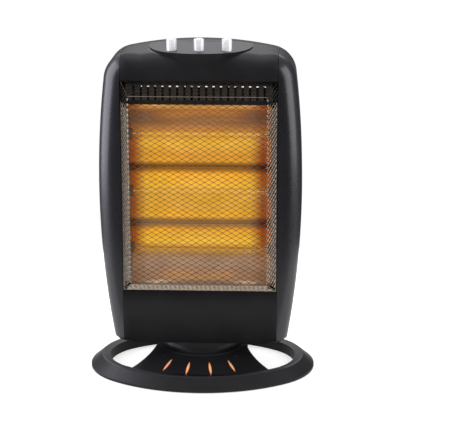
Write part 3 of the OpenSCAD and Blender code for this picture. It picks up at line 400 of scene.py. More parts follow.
side_cx = HALF_W - SIDE_R
roof_cz = ROOF_Z - ROOF_R
side_in, roof_in = SIDE_R - SHOULDER_R, ROOF_R - SHOULDER_R
centre_gap = math.hypot(side_cx, WIDE_Z - roof_cz)
turn = math.acos((roof_in ** 2 + centre_gap ** 2 - side_in ** 2) / (2 * roof_in * centre_gap))
roof_end = math.atan2(WIDE_Z - roof_cz, side_cx) - turn
shoulder = (roof_in * math.cos(roof_end), roof_cz + roof_in * math.sin(roof_end))
side_end = math.atan2(shoulder[1] - WIDE_Z, shoulder[0] - side_cx)
side_start = math.asin((FLOOR_Z - RUN_ON - WIDE_Z) / SIDE_R)


def bow(cx, cz, radius, start, end, steps):
    """Stations (x, z, outward angle) along an arc, without its first one."""
    angles = [start + (end - start) * i / steps for i in range(1, steps + 1)]
    return [(cx + radius * math.cos(a), cz + radius * math.sin(a), a) for a in angles]


right_side = bow(side_cx, WIDE_Z, SIDE_R, side_start, side_end, 40)
right_side += bow(shoulder[0], shoulder[1], SHOULDER_R, side_end, roof_end, 24)
roof = bow(0, roof_cz, ROOF_R, roof_end, math.pi - roof_end, 56)
keel = [(right_side[0][0] - KEEL_IN, right_side[0][1] - KEEL_DROP, -math.pi / 2)]
left_side = [(-x, z, math.pi - a) for x, z, a in reversed(keel + right_side)]
stations = keel + right_side + roof[:-1] + left_side
print("outline:", len(stations), "stations")

# %% [markdown]
# ## Skinning and cutting
# `half_shell` skins one hollow half of the body. Plastic parts are then cut out of it
# with plain blocks, the way the seams cut the real body. Boolean modifiers do the
# cutting, and are written into the mesh so that the bevel works on the final edges.

# %% Closed meshes
EDGE_STEPS = 20


def edge_round(face, edge, inset):
    """The rounding between the wall and the flat face, as (inset, depth) points."""
    outward = math.copysign(1, face)
    radius = edge - inset
    turns = [math.pi / 2 * i / EDGE_STEPS for i in range(EDGE_STEPS + 1)]
    return [(edge - radius * math.cos(t), outward * (abs(face) - edge + radius * math.sin(t)))
            for t in turns]


def half_shell(name, face, edge, back):
    """Hollow half of the body between the seam and its flat face, as one closed mesh."""
    inner = list(reversed(edge_round(face, edge, WALL)))
    profile = [(0, back)] + edge_round(face, edge, 0) + inner + [(WALL, back)]
    bm = bmesh.new()
    loops = [[bm.verts.new(at_mm(x - inset * math.cos(a), depth, z - inset * math.sin(a)))
              for x, z, a in stations]
             for inset, depth in profile]
    for k, loop in enumerate(loops):
        after = loops[(k + 1) % len(loops)]
        if k == EDGE_STEPS + 1:
            # the flat face, outside and inside
            bm.faces.new(loop)
            bm.faces.new(after)
        else:
            bridge(bm, loop, after)
    return object_from(bm, name)


def blocks(name, *corners):
    """Several separate blocks in one mesh, each from two corners (x, depth, z) in mm."""
    bm = bmesh.new()
    for low, high in corners:
        size = [(high[i] - low[i]) * MM for i in range(3)]
        middle = [(high[i] + low[i]) / 2 * MM for i in range(3)]
        place = Matrix.Translation((middle[0], -middle[1], middle[2]))
        bmesh.ops.create_cube(bm, size=1, matrix=place @ Matrix.Diagonal(size + [1]))
    return object_from(bm, name)


def lathe(name, outline, steps, centre=(0, 0)):
    """A closed solid turned about an upright axis from (radius, z) points in mm."""
    bm = bmesh.new()
    rings = []
    for radius, z in outline:
        if radius == 0:
            rings.append([bm.verts.new(at_mm(*centre, z))])
            continue
        angles = [2 * math.pi * i / steps for i in range(steps)]
        rings.append([bm.verts.new(at_mm(centre[0] + radius * math.cos(a),
                                         centre[1] - radius * math.sin(a), z)) for a in angles])
    for lower, upper in zip(rings, rings[1:]):
        bridge(bm, lower, upper)
    for ring in (rings[0], rings[-1]):
        if len(ring) > 1:
            bm.faces.new(ring)
    return object_from(bm, name)


print("front edge:", len(edge_round(FRONT, FRONT_EDGE_R, 0)), "points in its rounding")

# %% Cutting and finishing
EDGE_SOFTNESS, SHARP_DEGREES = 0.4, 32


def carve(piece, operation, tool):
    """Cuts, joins or keeps the common part with a tool, which is then thrown away."""
    step = piece.modifiers.new("carve", "BOOLEAN")
    step.operation = operation
    step.solver = "EXACT"
    step.object = tool
    seen = piece.evaluated_get(bpy.context.evaluated_depsgraph_get())
    mesh, old = bpy.data.meshes.new_from_object(seen), piece.data
    piece.modifiers.clear()
    piece.data = mesh
    mesh.name = piece.name
    bpy.data.meshes.remove(old)
    bpy.data.objects.remove(tool)
    return piece


def finish_moulding(piece, material, node):
    """Rounds the cut edges a little, shades smooth, and puts the piece in its place."""
    piece.data.materials.append(material)
    smooth(piece, SHARP_DEGREES)
    bevel = piece.modifiers.new("soft_edges", "BEVEL")
    bevel.width = EDGE_SOFTNESS * MM
    bevel.segments = 2
    bevel.limit_method = "ANGLE"
    bevel.angle_limit = math.radians(SHARP_DEGREES)
    weights = piece.modifiers.new("even_shading", "WEIGHTED_NORMAL")
    weights.keep_sharp = True
    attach(piece, "body")
    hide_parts(node)
    print(piece.name, len(piece.data.vertices), "points")


print("moulded edges are rounded by", EDGE_SOFTNESS, "mm")

# %% [markdown]
# ## Side covers and lower fascia
# Both are cut from the same front half: the covers outside the two seams, the fascia
# between them and below the guard. The seam is a real gap between the pieces.

# %% Side covers
BEYOND = 140             # further out than the body is wide
SHELL_FRONT = FRONT + 3
front_edge = -SEAM_Y + SEAM_GAP / 2
cover_x, fascia_x = SEAM_X + SEAM_GAP / 2, SEAM_X - SEAM_GAP / 2
for side, name in ((1, "right_side_cover"), (-1, "left_side_cover")):
    cover = half_shell(name, FRONT, FRONT_EDGE_R, front_edge)
    low, high = sorted((side * cover_x, side * BEYOND))
    carve(cover, "INTERSECT", blocks("keep", ((low, -30, FLOOR_Z), (high, SHELL_FRONT, ROOF_Z))))
    finish_moulding(cover, polished_abs, name)

# %% Lower fascia, with the ledge that the guard's rim lies on
LIP_FRONT, LIP_BACK, LIP_X = 50, 47.4, 96
FASCIA_BACK, GUARD_PLAY = 28, 0.3
ledge_top = GUARD_Z - GUARD_PLAY
lower = half_shell("lower_fascia", FRONT, FRONT_EDGE_R, front_edge)
carve(lower, "INTERSECT", blocks("keep", ((-fascia_x, FASCIA_BACK, FLOOR_Z),
                                          (fascia_x, SHELL_FRONT, ledge_top))))
carve(lower, "UNION", blocks("ledge", ((-LIP_X, LIP_BACK, ledge_top - WALL),
                                       (LIP_X, FRONT - 1, ledge_top))))
finish_moulding(lower, lower_abs, "lower_fascia")

# %% [markdown]
# ## Upper fascia and switch shelf
# The shelf is a shallow bowl that stands out of the roof's rounded edge: its top slopes
# gently to the front, and its underside runs back into the face as a dark crescent.
# Below it, a step leads in to the band of vent slots behind the top of the guard. The
# roof beside the shelf dips a little, which a smooth shift of the shell's points gives.

# %% Shapes of the shelf
SHELF_SLOPE = math.radians(5.5)
SHELF_ROOT_Z = ROOF_Z - 23
BUTTON_PITCH, BUTTON_D, BUTTON_FRONT, BUTTON_BACK = 35.9, 13.3, 46.5, 6
SWITCH_ROOM = ((-40, 31, 429), (40, 44, 438))


def bowl(inset, top, back):
    """The front half of the shelf's flaring bowl, up to a height."""
    flare = (SHELF_R - SHELF_ROOT_R) / (ROOF_Z - SHELF_ROOT_Z)
    low_r = SHELF_ROOT_R - inset
    piece = lathe("bowl", [(low_r, SHELF_ROOT_Z), (low_r + flare * (top - SHELF_ROOT_Z), top)],
                  240, (0, SHELF_CENTRE))
    half_w = SHELF_HALF_W - inset
    return carve(piece, "INTERSECT", blocks("ends", ((-half_w, back, 0), (half_w, 200, 600))))


def under_arch(inset):
    """Everything under the shelf's sloping top, as a bar with an arched upper side."""
    bm = bmesh.new()
    radius = ROOF_R - inset
    turns = [math.radians(90 + 14 * (1 - i / 48)) for i in range(97)]
    shape = [(radius * math.cos(t), radius * math.sin(t) - ROOF_R) for t in turns]
    shape += [(shape[-1][0], -80), (shape[0][0], -80)]
    tilt = Matrix.Translation((0, 0, ROOF_Z * MM)) @ Matrix.Rotation(SHELF_SLOPE, 4, "X")
    ends = [[bm.verts.new(tilt @ Vector(at_mm(x, depth, z))) for x, z in shape]
            for depth in (-30, 130)]
    for end in ends:
        bm.faces.new(end)
    bridge(bm, *ends)
    return object_from(bm, "arch")


def button_place(i):
    """Plan position of a button as (x, depth)."""
    return (i - 1) * BUTTON_PITCH, BUTTON_FRONT - (0 if i == 1 else BUTTON_BACK)


shelf = carve(bowl(0, ROOF_Z + 4, 0), "INTERSECT", under_arch(0))
hollow = carve(bowl(WALL, ROOF_Z + 4, 0), "INTERSECT", under_arch(WALL))
carve(shelf, "DIFFERENCE", hollow)
carve(shelf, "DIFFERENCE", blocks("switch_room", SWITCH_ROOM))
print("shelf:", len(shelf.data.polygons), "faces")

# %% Upper fascia
ROOF_DIP, DIP_Z = 5, 415
DIP_INNER, DIP_OUTER, DIP_DEPTHS = (15, 50), (75, 99), (6, 34)
VENTS, VENT_PITCH, VENT_W, VENT_H, VENT_Z = 19, 9.5, 3.0, 19, 392.5
BAND_BOTTOM, BAND_TOP = 377.2, 409.3
BUTTON_HOLE, FLANGE_ROOM = (7.0, 423, 473), (7.95, 438.9, 444.0)     # radius, from, to


def ease(value, low, high):
    """0 below low and 1 above high, with a smooth way between."""
    t = min(max((value - low) / (high - low), 0), 1)
    return t * t * (3 - 2 * t)


upper = half_shell("upper_fascia", FRONT, FRONT_EDGE_R, front_edge)
carve(upper, "INTERSECT", blocks("keep", ((-fascia_x, -60, BAND_TOP),
                                          (fascia_x, SHELL_FRONT, ROOF_Z + 5))))
for point in upper.data.vertices:
    x, depth, z = point.co.x / MM, -point.co.y / MM, point.co.z / MM
    if z > DIP_Z:
        beside = ease(abs(x), *DIP_INNER) * (1 - ease(abs(x), *DIP_OUTER))
        beside *= ease(depth, *DIP_DEPTHS)
        point.co.z -= ROOF_DIP * beside * MM
carve(upper, "DIFFERENCE", bowl(0.4, ROOF_Z + 20, 1))
carve(upper, "UNION", shelf)
carve(upper, "UNION", blocks("step", ((-LIP_X, LIP_BACK, BAND_TOP),
                                      (LIP_X, FRONT - 1.3, BAND_TOP + WALL))))
band = blocks("band", ((-LIP_X, LIP_BACK, BAND_BOTTOM), (LIP_X, LIP_FRONT, BAND_TOP + 1)))
slot_xs = [(i - (VENTS - 1) / 2) * VENT_PITCH for i in range(VENTS)]
slots = [((x - VENT_W / 2, LIP_BACK - 1, VENT_Z - VENT_H / 2),
          (x + VENT_W / 2, LIP_FRONT + 1, VENT_Z + VENT_H / 2)) for x in slot_xs]
carve(band, "DIFFERENCE", blocks("slots", *slots))
carve(upper, "UNION", band)
for i in range(3):
    for radius, low, high in (BUTTON_HOLE, FLANGE_ROOM):
        hole = lathe("hole", [(radius, low), (radius, high)], 64, button_place(i))
        carve(upper, "DIFFERENCE", hole)
finish_moulding(upper, shelf_abs, "upper_fascia")

# %% [markdown]
# ## Rear cover
# The same skinning makes the rear half, cut by rows of louvres that let the air in below
# and out above, a grip pocket for carrying, a hole for the cord's gland and sunk screws.

# %% Rear cover
GRIP_W, GRIP_H, GRIP_DEPTH, GRIP_Z = 96, 26, 20, 408
LOUVRE_W, LOUVRE_H, LOUVRE_PITCH, LOUVRE_BAR = 52, 3.2, 9, 8
LOUVRES_OUT, LOUVRES_IN = (9, 310.1), (5, 100)      # rows and height of the lowest
GLAND_X, GLAND_Z, GLAND_R = 52, 74, 6
SCREWS = [(-108, 90), (108, 90), (-112, 380), (112, 380)]
BOSS_R, HEAD_R, SHANK_R = 4.5, 3.5, 1.8


def bore(x, z, radius, depth0, depth1):
    """A round cutter along Y, between two depths."""
    tool = lathe("bore", [(radius, depth0), (radius, depth1)], 40)
    onto_y = Matrix.Rotation(math.pi / 2, 4, "X")
    tool.data.transform(Matrix.Translation((x * MM, 0, z * MM)) @ onto_y)
    return tool


rear = half_shell("rear_cover", -REAR, REAR_EDGE_R, -SEAM_Y - SEAM_GAP / 2)
carve(rear, "INTERSECT", blocks("keep", ((-BEYOND, -60, FLOOR_Z), (BEYOND, 0, ROOF_Z + 1))))
half_grip = GRIP_W / 2
carve(rear, "UNION", blocks("pocket", ((-half_grip - WALL, -REAR + WALL / 2, GRIP_Z - WALL),
                                       (half_grip + WALL, -REAR + GRIP_DEPTH + WALL,
                                        GRIP_Z + GRIP_H + WALL))))
cuts = [((-half_grip, -REAR - 1, GRIP_Z), (half_grip, -REAR + GRIP_DEPTH, GRIP_Z + GRIP_H))]
for rows, lowest in (LOUVRES_OUT, LOUVRES_IN):
    for i in range(rows):
        z = lowest + i * LOUVRE_PITCH
        for column in (-1, 0, 1):
            x = column * (LOUVRE_W + LOUVRE_BAR)
            cuts.append(((x - LOUVRE_W / 2, -REAR - 1, z),
                         (x + LOUVRE_W / 2, -REAR + WALL + 1, z + LOUVRE_H)))
carve(rear, "DIFFERENCE", blocks("cuts", *cuts))
carve(rear, "DIFFERENCE", bore(GLAND_X, GLAND_Z, GLAND_R, -REAR - 1, -REAR + WALL + 1))
for x, z in SCREWS:
    carve(rear, "UNION", bore(x, z, BOSS_R, -REAR + WALL / 2, -SEAM_Y - 6))
    carve(rear, "DIFFERENCE", bore(x, z, HEAD_R, -REAR - 5, -REAR + 5))
    carve(rear, "DIFFERENCE", bore(x, z, SHANK_R, -REAR - 5, -SEAM_Y))
finish_moulding(rear, grained_abs, "rear_cover")

# %% [markdown]
# ## Guard of expanded metal
# Expanded metal is a sheet that is slit and pulled open, so each strand is a flat ribbon
# leaning out of the sheet, and the strands are twice as wide where rows meet. Each row
# here is one ribbon that zigzags across the sheet; at the knuckles it lies against the
# next row. The long way of a diamond is 11.6 mm, the short way 6.8 mm. A texture with
# holes would be flat, and the slant of the strands is what catches the light.

# %% Chrome plate, straw where it is hot, with painted shade at the top
HAZE = 3
OVERHANG_SHADE_Z, HOT_X, HOT_Z = (379, 384), (62, 80), (165, 190)
# the dark colour is painted shade under the fascia's overhang; the straw is heat tint
HEAT_STRAW, OVERHANG_SHADE = "#a4762a", "#1f1c1a"

chrome, tree, place = new_material("bright_chrome_plate")
at = add(tree, "SeparateXYZ", Vector=place).outputs
haze, tone = mottle(tree, place, HAZE, "#b0a08a", "#d6c8b2")
# painted shade: the chrome turns dark towards the top, where the fascia's overhang shades the guard
overhang_shade = add(tree, "MapRange", Value=at["Z"], From=mm(*OVERHANG_SHADE_Z), To=(0.0, 0.93))
beside = add(tree, "Math", SIZE_OF, _0=at["X"])
middle = add(tree, "MapRange", Value=beside, From=mm(*HOT_X), To=(0.85, 0.0))
above = add(tree, "MapRange", Value=at["Z"], From=mm(*HOT_Z))
heat = add(tree, "Math", TIMES, _0=middle, _1=above)
straw = add(tree, "MixRGB", Fac=heat, Color1=tone, Color2=linear(HEAT_STRAW))
straw_and_shade = add(tree, "MixRGB", Fac=overhang_shade, Color1=straw, Color2=linear(OVERHANG_SHADE))
rough = add(tree, "MapRange", Value=haze, To=(0.16, 0.30))
oxide = add(tree, "MapRange", Value=heat, To=(1.0, 0.5))
plate = add(tree, "BsdfPrincipled", Base_Color=straw_and_shade, Metallic=oxide, Roughness=rough)
add(tree, "OutputMaterial", Surface=plate)

# painted highlight: a lighter copy of the chrome, without the painted shade, for the folds and the
# bottom return
lit_chrome_copy, tree, place = new_material("lit_chrome_folds")
tone = mottle(tree, place, HAZE, "#bcb2a4", "#e0d6c8")[1]
plate = add(tree, "BsdfPrincipled", Base_Color=tone, Metallic=1.0, Roughness=0.25)
add(tree, "OutputMaterial", Surface=plate)
print("chrome:", chrome.name, lit_chrome_copy.name)

# %% One panel of mesh
LONG_WAY, SHORT_WAY = 11.6, 6.8
STRAND_W, STRAND_T = 0.75, 0.5
KNUCKLE = 1.5
CORNERS = ((-1, -1), (1, -1), (1, 1), (-1, 1))


def mesh_rows(bm, corner, along, up, width, height, angle, inside, slot=0):
    """Zigzag ribbons over a flat panel; along and up are unit vectors in mm space."""
    out_of = along.cross(up)
    columns = max(2, round(width / (LONG_WAY / 2)))
    rows = max(2, round(height / (SHORT_WAY / 2)))
    step_u, step_v = width / columns, height / rows
    lean = Vector((0, math.cos(angle), math.sin(angle))) * STRAND_W / 2
    thick = Vector((0, -math.sin(angle), math.cos(angle))) * STRAND_T / 2
    for row in range(rows):
        ring_before = None
        for k in range(columns + 1):
            up_here = (k + row) % 2
            v = (row + up_here) * step_v + (STRAND_W / 2 if up_here == 0 else -STRAND_W / 2)
            for u in (k * step_u - KNUCKLE / 2, k * step_u + KNUCKLE / 2):
                u = min(max(u, 0), width)
                if not inside(u, v):
                    ring_before = None
                    continue
                ring = []
                for a, b in CORNERS:
                    offset = lean * a + thick * b
                    at = corner + along * u + up * (v + offset.y) + out_of * offset.z
                    ring.append(bm.verts.new(at_mm(*at)))
                if ring_before:
                    bridge(bm, ring_before, ring, slot)
                ring_before = ring


print("diamonds:", LONG_WAY, "x", SHORT_WAY, "mm")

# %% Face and sloping returns of the guard
FLAT_LEAN, SIDE_LEAN, OPEN_LEAN = math.radians(12), math.radians(20), math.radians(38)
FACE_W, FACE_H = 180, 252
GUARD_H, GUARD_HALF_W, GUARD_OUT = 283, 102.2, 25
RIM_ROOM, SEAM_ROOM = 0.6, 0.8
GUARD_MID_Z = GUARD_Z + GUARD_H / 2
FACE_DEPTH = FRONT + GUARD_OUT
X_WAY, Z_WAY = Vector((1, 0, 0)), Vector((0, 0, 1))

bm = bmesh.new()
half_w, half_h = FACE_W / 2, FACE_H / 2
run_x, run_z = GUARD_HALF_W - RIM_ROOM - half_w, (GUARD_H - FACE_H) / 2
bottom, top = GUARD_MID_Z - half_h, GUARD_MID_Z + half_h
mesh_rows(bm, Vector((-half_w, FACE_DEPTH, bottom)), X_WAY, Z_WAY, FACE_W, FACE_H, FLAT_LEAN,
          lambda u, v: True)
# each return is cut to a trapezium between the corner seams
slant_x = math.hypot(run_x, GUARD_OUT)
slant_z = math.hypot(run_z, GUARD_OUT)
for side in (-1, 1):
    outward = Vector((side * run_x, -GUARD_OUT, 0)) / slant_x
    mesh_rows(bm, Vector((side * half_w, FACE_DEPTH, GUARD_Z)), outward, Z_WAY,
              slant_x, GUARD_H, SIDE_LEAN,
              lambda u, v: abs(v - GUARD_H / 2) <= half_h + run_z * u / slant_x)
    # the bottom return takes the lighter chrome copy, a painted highlight
    outward = Vector((0, -GUARD_OUT, side * run_z)) / slant_z
    mesh_rows(bm, Vector((-GUARD_HALF_W, FACE_DEPTH, GUARD_MID_Z + side * half_h)), X_WAY,
              outward, 2 * GUARD_HALF_W, slant_z, OPEN_LEAN,
              lambda u, v: abs(u - GUARD_HALF_W) <= half_w + run_x * v / slant_z, slot=side < 0)
print("mesh panels:", len(bm.faces), "faces")

# %% Folds, corner seams and the turned rim
FOLD_R, SEAM_R = 0.7, 0.4
RIM_OUT, RIM_T = 0.6, 1.0


def rod(bm, start, end, radius, slot=1):
    """A round rod between two points in [x, depth, z] mm, for folds and seams."""
    start, end = Vector(at_mm(*start)), Vector(at_mm(*end))
    turned = (end - start).to_track_quat("Z", "Y").to_matrix().to_4x4()
    made = bmesh.ops.create_cone(bm, cap_ends=True, segments=12, radius1=radius * MM,
                                 radius2=radius * MM, depth=(end - start).length,
                                 matrix=Matrix.Translation((start + end) / 2) @ turned)
    for face in {face for vert in made["verts"] for face in vert.link_faces}:
        face.material_index = slot


# where the sheet is bent, only the knuckles lie on the fold and shine, one by one; their rods take
# the lighter chrome copy, a painted highlight
for x in (-half_w, half_w):
    for k in range(round(FACE_H / SHORT_WAY)):
        z = bottom + (k + 0.3) * SHORT_WAY
        rod(bm, (x, FACE_DEPTH, z), (x, FACE_DEPTH, z + 0.4 * SHORT_WAY), FOLD_R)
for k in range(round(FACE_W / LONG_WAY * 2) - 1):
    x = -half_w + (k + 0.4) * LONG_WAY / 2
    rod(bm, (x, FACE_DEPTH, bottom), (x + 0.35 * LONG_WAY, FACE_DEPTH, bottom), FOLD_R)
rod(bm, (-half_w, FACE_DEPTH, top), (half_w, FACE_DEPTH, top), SEAM_R)
for x, z in CORNERS:
    rod(bm, (x * half_w, FACE_DEPTH, GUARD_MID_Z + z * half_h),
        (x * (GUARD_HALF_W - SEAM_ROOM), FRONT, GUARD_MID_Z + z * (GUARD_H / 2 - SEAM_ROOM)),
        SEAM_R, 0)
rings = []
for inset, depth in ((0, LIP_FRONT), (0, FRONT + RIM_OUT), (RIM_T, FRONT + RIM_OUT),
                     (RIM_T, LIP_FRONT)):
    rings.append([bm.verts.new(at_mm(x * (GUARD_HALF_W - inset), depth,
                                     GUARD_MID_Z + z * (GUARD_H / 2 - inset)))
                  for x, z in CORNERS])
for a in range(4):
    bridge(bm, rings[a], rings[(a + 1) % 4])
guard = object_from(bm, "guard_mesh")
guard.data.materials.append(chrome)
guard.data.materials.append(lit_chrome_copy)
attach(guard, "body")
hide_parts("guard_mesh")
print("guard:", len(guard.data.polygons), "faces")

# %% [markdown]
# ## Reflector
# Behind the lamps stands one bright rolled aluminium sheet, bent into three troughs,
# tinted straw and brown by heat. With the lamps on, it is filled with their light: two
# troughs glow all over and the lowest one only in its upper half, because its lamp is
# switched off. Traced light from so thin a wire would be slow and grainy, so the glow is
# part of the sheet's finish, worked out from its height and width, and stays on the
# sheet from any side.

# %% Glowing reflector sheet
TROUGH_H, TROUGH_DEPTH, TROUGH_Z, SHEET_T = 78.4, 36, 137, 0.8
SHEET_HALF_W, SHEET_FRONT = 94, 46.4
RIM_TOP, RIM_BOTTOM = 378.2, 127.3
GLOW_CENTRE, GLOW_HALF_W, GLOW_EDGE = -4, 70, 16
ROLLED_LONG, ROLLED_WIDE = 50, 2.5
# tones by height in mm: brown rims, yellow round a lit lamp
GLOW = {127: "#5e4433", 137: "#80654f", 148: "#967a64", 158: "#9c7a60", 164: "#9c7444",
        168: "#c08a30", 171: "#e2a82c", 183: "#f0b82e", 198: "#dea026", 204: "#a87028",
        208: "#7a5c42", 216: "#6a543e", 218: "#7c5c40", 221.5: "#dca42c", 240: "#dca028",
        256: "#ecb430", 276: "#e6a62a", 281: "#a87024", 287: "#603818", 294: "#442410",
        295.2: "#7c4c1e", 298: "#d4982a", 303: "#d2922a", 318: "#ecb22e", 330: "#d4922c",
        338: "#a46a34", 345: "#725038", 354: "#62483a", 366: "#784e2c", 374: "#b87e2e"}
# what the glow is multiplied by towards the ends of the lamps
SIDE_TINT = {127: "#e8d4c8", 163: "#e8d0c0", 172: "#a5694a", 330: "#a5694a",
             342: "#f0d8c8", 368: "#e8c8a8", 374: "#b07a58"}
# what the metal is multiplied by: painted shade, darker at the cusps between the troughs
CUSP_TINT = {202: "#ffffff", 208: "#808080", 218: "#808080", 221: "#ffffff",
             279: "#ffffff", 285: "#6c6c6c", 295.5: "#6c6c6c", 298.5: "#ffffff"}
PRODUCT = {"blend_type": "MULTIPLY"}
low, high = min(GLOW), max(GLOW)


def by_height(tones):
    """Turns {height in mm: colour} into the stops of a ramp up the whole sheet."""
    return {(z - low) / (high - low): colour for z, colour in tones.items()}


heated_sheet, tree, place = new_material("heated_aluminium_sheet")
at = add(tree, "SeparateXYZ", Vector=place).outputs
height = add(tree, "MapRange", Value=at["Z"], From=mm(low, high))
bands = add(tree, "ValToRGB", stops=by_height(GLOW), Fac=height)
tint = add(tree, "ValToRGB", stops=by_height(SIDE_TINT), Fac=height)
dim = add(tree, "MixRGB", PRODUCT, Fac=1.0, Color1=bands, Color2=tint)
sideways = add(tree, "Math", {"operation": "SUBTRACT"}, _0=at["X"], _1=GLOW_CENTRE * MM)
sideways = add(tree, "Math", SIZE_OF, _0=sideways)
edge = add(tree, "MapRange", Value=sideways, From=mm(GLOW_HALF_W, GLOW_HALF_W + GLOW_EDGE))
lit = add(tree, "MixRGB", Fac=edge, Color1=bands, Color2=dim)
ripple = mottle(tree, place, 9, "#c8c8c8", "#ffffff")[1]
glow = add(tree, "MixRGB", PRODUCT, Fac=0.35, Color1=lit, Color2=ripple)
# rolling leaves lines along the sheet, which in real sheet are far finer than here
along, across = 1 / (ROLLED_LONG * MM), 1 / (ROLLED_WIDE * MM)
rolled = add(tree, "Mapping", Vector=place, Scale=(along, across, across))
rolled = add(tree, "TexNoise", Vector=rolled, Scale=1.0, Detail=3.0)
tone = add(tree, "ValToRGB", stops={0.3: "#8d7a63", 0.7: "#b39c80"}, Fac=rolled)
# painted shade at the cusps between the troughs
cusps = add(tree, "ValToRGB", stops=by_height(CUSP_TINT), Fac=height)
tone = add(tree, "MixRGB", PRODUCT, Fac=1.0, Color1=tone, Color2=cusps)
facing = add(tree, "SeparateXYZ", Vector=add(tree, "TexCoord").outputs["Normal"]).outputs["Y"]
front = add(tree, "MapRange", Value=facing, From=(0.0, -0.05))
sheet = add(tree, "BsdfPrincipled", Base_Color=tone, Metallic=1.0, Roughness=0.32,
            Emission_Color=glow, Emission_Strength=front)
add(tree, "OutputMaterial", Surface=sheet)
print("glow:", len(GLOW), "tones over", high - low, "mm")

# %% Troughs
ARC_STEPS = 40
arc_r = ((TROUGH_H / 2) ** 2 + TROUGH_DEPTH ** 2) / (2 * TROUGH_DEPTH)
arc_centre = SHEET_FRONT + arc_r - TROUGH_DEPTH
half_turn = math.asin(TROUGH_H / 2 / arc_r)
shape = [(SHEET_FRONT, RIM_BOTTOM)]
for i in range(3):
    middle = TROUGH_Z + (i + 0.5) * TROUGH_H
    for k in range(ARC_STEPS + 1):
        t = half_turn * (2 * k / ARC_STEPS - 1)
        shape.append((arc_centre - arc_r * math.cos(t), middle + arc_r * math.sin(t)))
shape.append((SHEET_FRONT, RIM_TOP))
bm = bmesh.new()
ends = [[bm.verts.new(at_mm(x, depth, z)) for depth, z in shape]
        for x in (-SHEET_HALF_W, SHEET_HALF_W)]
for i in range(len(shape) - 1):
    bm.faces.new((ends[0][i], ends[0][i + 1], ends[1][i + 1], ends[1][i]))
bmesh.ops.remove_doubles(bm, verts=bm.verts, dist=1e-6)
reflector = object_from(bm, "reflector")
reflector.data.materials.append(heated_sheet)
smooth(reflector, 40)
thickness = reflector.modifiers.new("sheet", "SOLIDIFY")
thickness.thickness = SHEET_T * MM
thickness.offset = -1 if reflector.data.polygons[20].normal.y < 0 else 1
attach(reflector, "body")
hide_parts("reflector")
print("reflector:", len(reflector.data.polygons), "faces")

# %% [markdown]
# ## Lamps
# Each lamp is a clear quartz tube with a tightly wound tungsten coil on its axis and a
# ceramic cap at each end. Quartz is nearly clear, so the coil has to be a real coil: a
# curve with a round bevel, which is lighter than a swept mesh. Two of the three are on.

# %% Quartz and tungsten
quartz, tree, place = new_material("fused_quartz")
tone = mottle(tree, place, 25, "#f2b850", "#ffd078")[1]
rim = add(tree, "LayerWeight", Blend=0.35).outputs["Facing"]
cover = add(tree, "MapRange", Value=rim, To=(0.06, 0.3))
glass = add(tree, "BsdfPrincipled", Base_Color=tone, Roughness=0.05, IOR=1.46, Alpha=cover)
add(tree, "OutputMaterial", Surface=glass)


def tungsten(name, hot, cool, strength):
    """Coil wire whose glow varies a little along it, as the turns' spacing does."""
    material, tree, place = new_material(name)
    glow = mottle(tree, place, 12, cool, hot, 1.0, 0.15)[1]
    wire = add(tree, "BsdfPrincipled", Base_Color=linear("#6f6a64"), Metallic=1.0,
               Roughness=0.45, Emission_Color=glow, Emission_Strength=strength)
    add(tree, "OutputMaterial", Surface=wire)
    return material


hot_tungsten = tungsten("tungsten_white_hot", "#ffd068", "#ffb43c", 0.8)
# painted glow: the switched-off coil gets a dim orange emission, standing in for the light it
# catches from the lit lamps and the sheet
off_coil_painted_glow = tungsten("tungsten_off_painted_glow", "#b5642f", "#8f4a24", 0.4)
print("lamp materials:", quartz.name, hot_tungsten.name, off_coil_painted_glow.name)

# %% Tubes and coils
LAMP_DEPTH, TUBE_R, TUBE_WALL, TUBE_HALF = 24, 5, 1, 100.3
COIL_R, COIL_LEN, COIL_PITCH, WIRE_R = 1.8, 156, 2.4, 0.35
TUBE_STEPS, TURN_STEPS = 40, 10


def lamp_tube(name, z):
    """An open quartz tube along X, with its wall."""
    bm = bmesh.new()
    angles = [2 * math.pi * i / TUBE_STEPS for i in range(TUBE_STEPS)]
    rings = [[bm.verts.new(at_mm(x, LAMP_DEPTH - radius * math.cos(t),
                                 z + radius * math.sin(t))) for t in angles]
             for x, radius in ((-TUBE_HALF, TUBE_R), (TUBE_HALF, TUBE_R),
                               (TUBE_HALF, TUBE_R - TUBE_WALL),
                               (-TUBE_HALF, TUBE_R - TUBE_WALL))]
    for a in range(4):
        bridge(bm, rings[a], rings[(a + 1) % 4])
    tube = object_from(bm, name)
    tube.data.materials.append(quartz)
    for polygon in tube.data.polygons:
        polygon.use_smooth = abs(polygon.normal.x) < 0.5
    return tube


def lamp_coil(name, z, wire):
    """A helix along X, with straight leads to both ends."""
    steps = round(COIL_LEN / COIL_PITCH) * TURN_STEPS
    points = [(-TUBE_HALF, 0, 0)]
    for i in range(steps + 1):
        t = 2 * math.pi * i / TURN_STEPS
        points.append((COIL_LEN * (i / steps - 0.5), COIL_R * math.cos(t), COIL_R * math.sin(t)))
    points.append((TUBE_HALF, 0, 0))
    curve = bpy.data.curves.new(name, "CURVE")
    curve.dimensions = "3D"
    curve.bevel_depth = WIRE_R * MM
    curve.bevel_resolution = 1
    curve.materials.append(wire)
    spline = curve.splines.new("POLY")
    spline.points.add(len(points) - 1)
    for point, (x, y, dz) in zip(spline.points, points):
        point.co = (*at_mm(x, LAMP_DEPTH - y, z + dz), 1)
    return show(name, curve)


for n, wire in enumerate((off_coil_painted_glow, hot_tungsten, hot_tungsten)):
    z = TROUGH_Z + (n + 0.5) * TROUGH_H
    tube = lamp_tube(f"lamp_tube_{n + 1}", z)
    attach(tube, "body")
    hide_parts(f"lamp_tube_{n + 1}")
    coil = lamp_coil(f"filament_{n + 1}", z, wire)
    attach(coil, "body")
    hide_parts(f"filament_{n + 1}")
print("lamps: 3, turns in a coil:", round(COIL_LEN / COIL_PITCH))

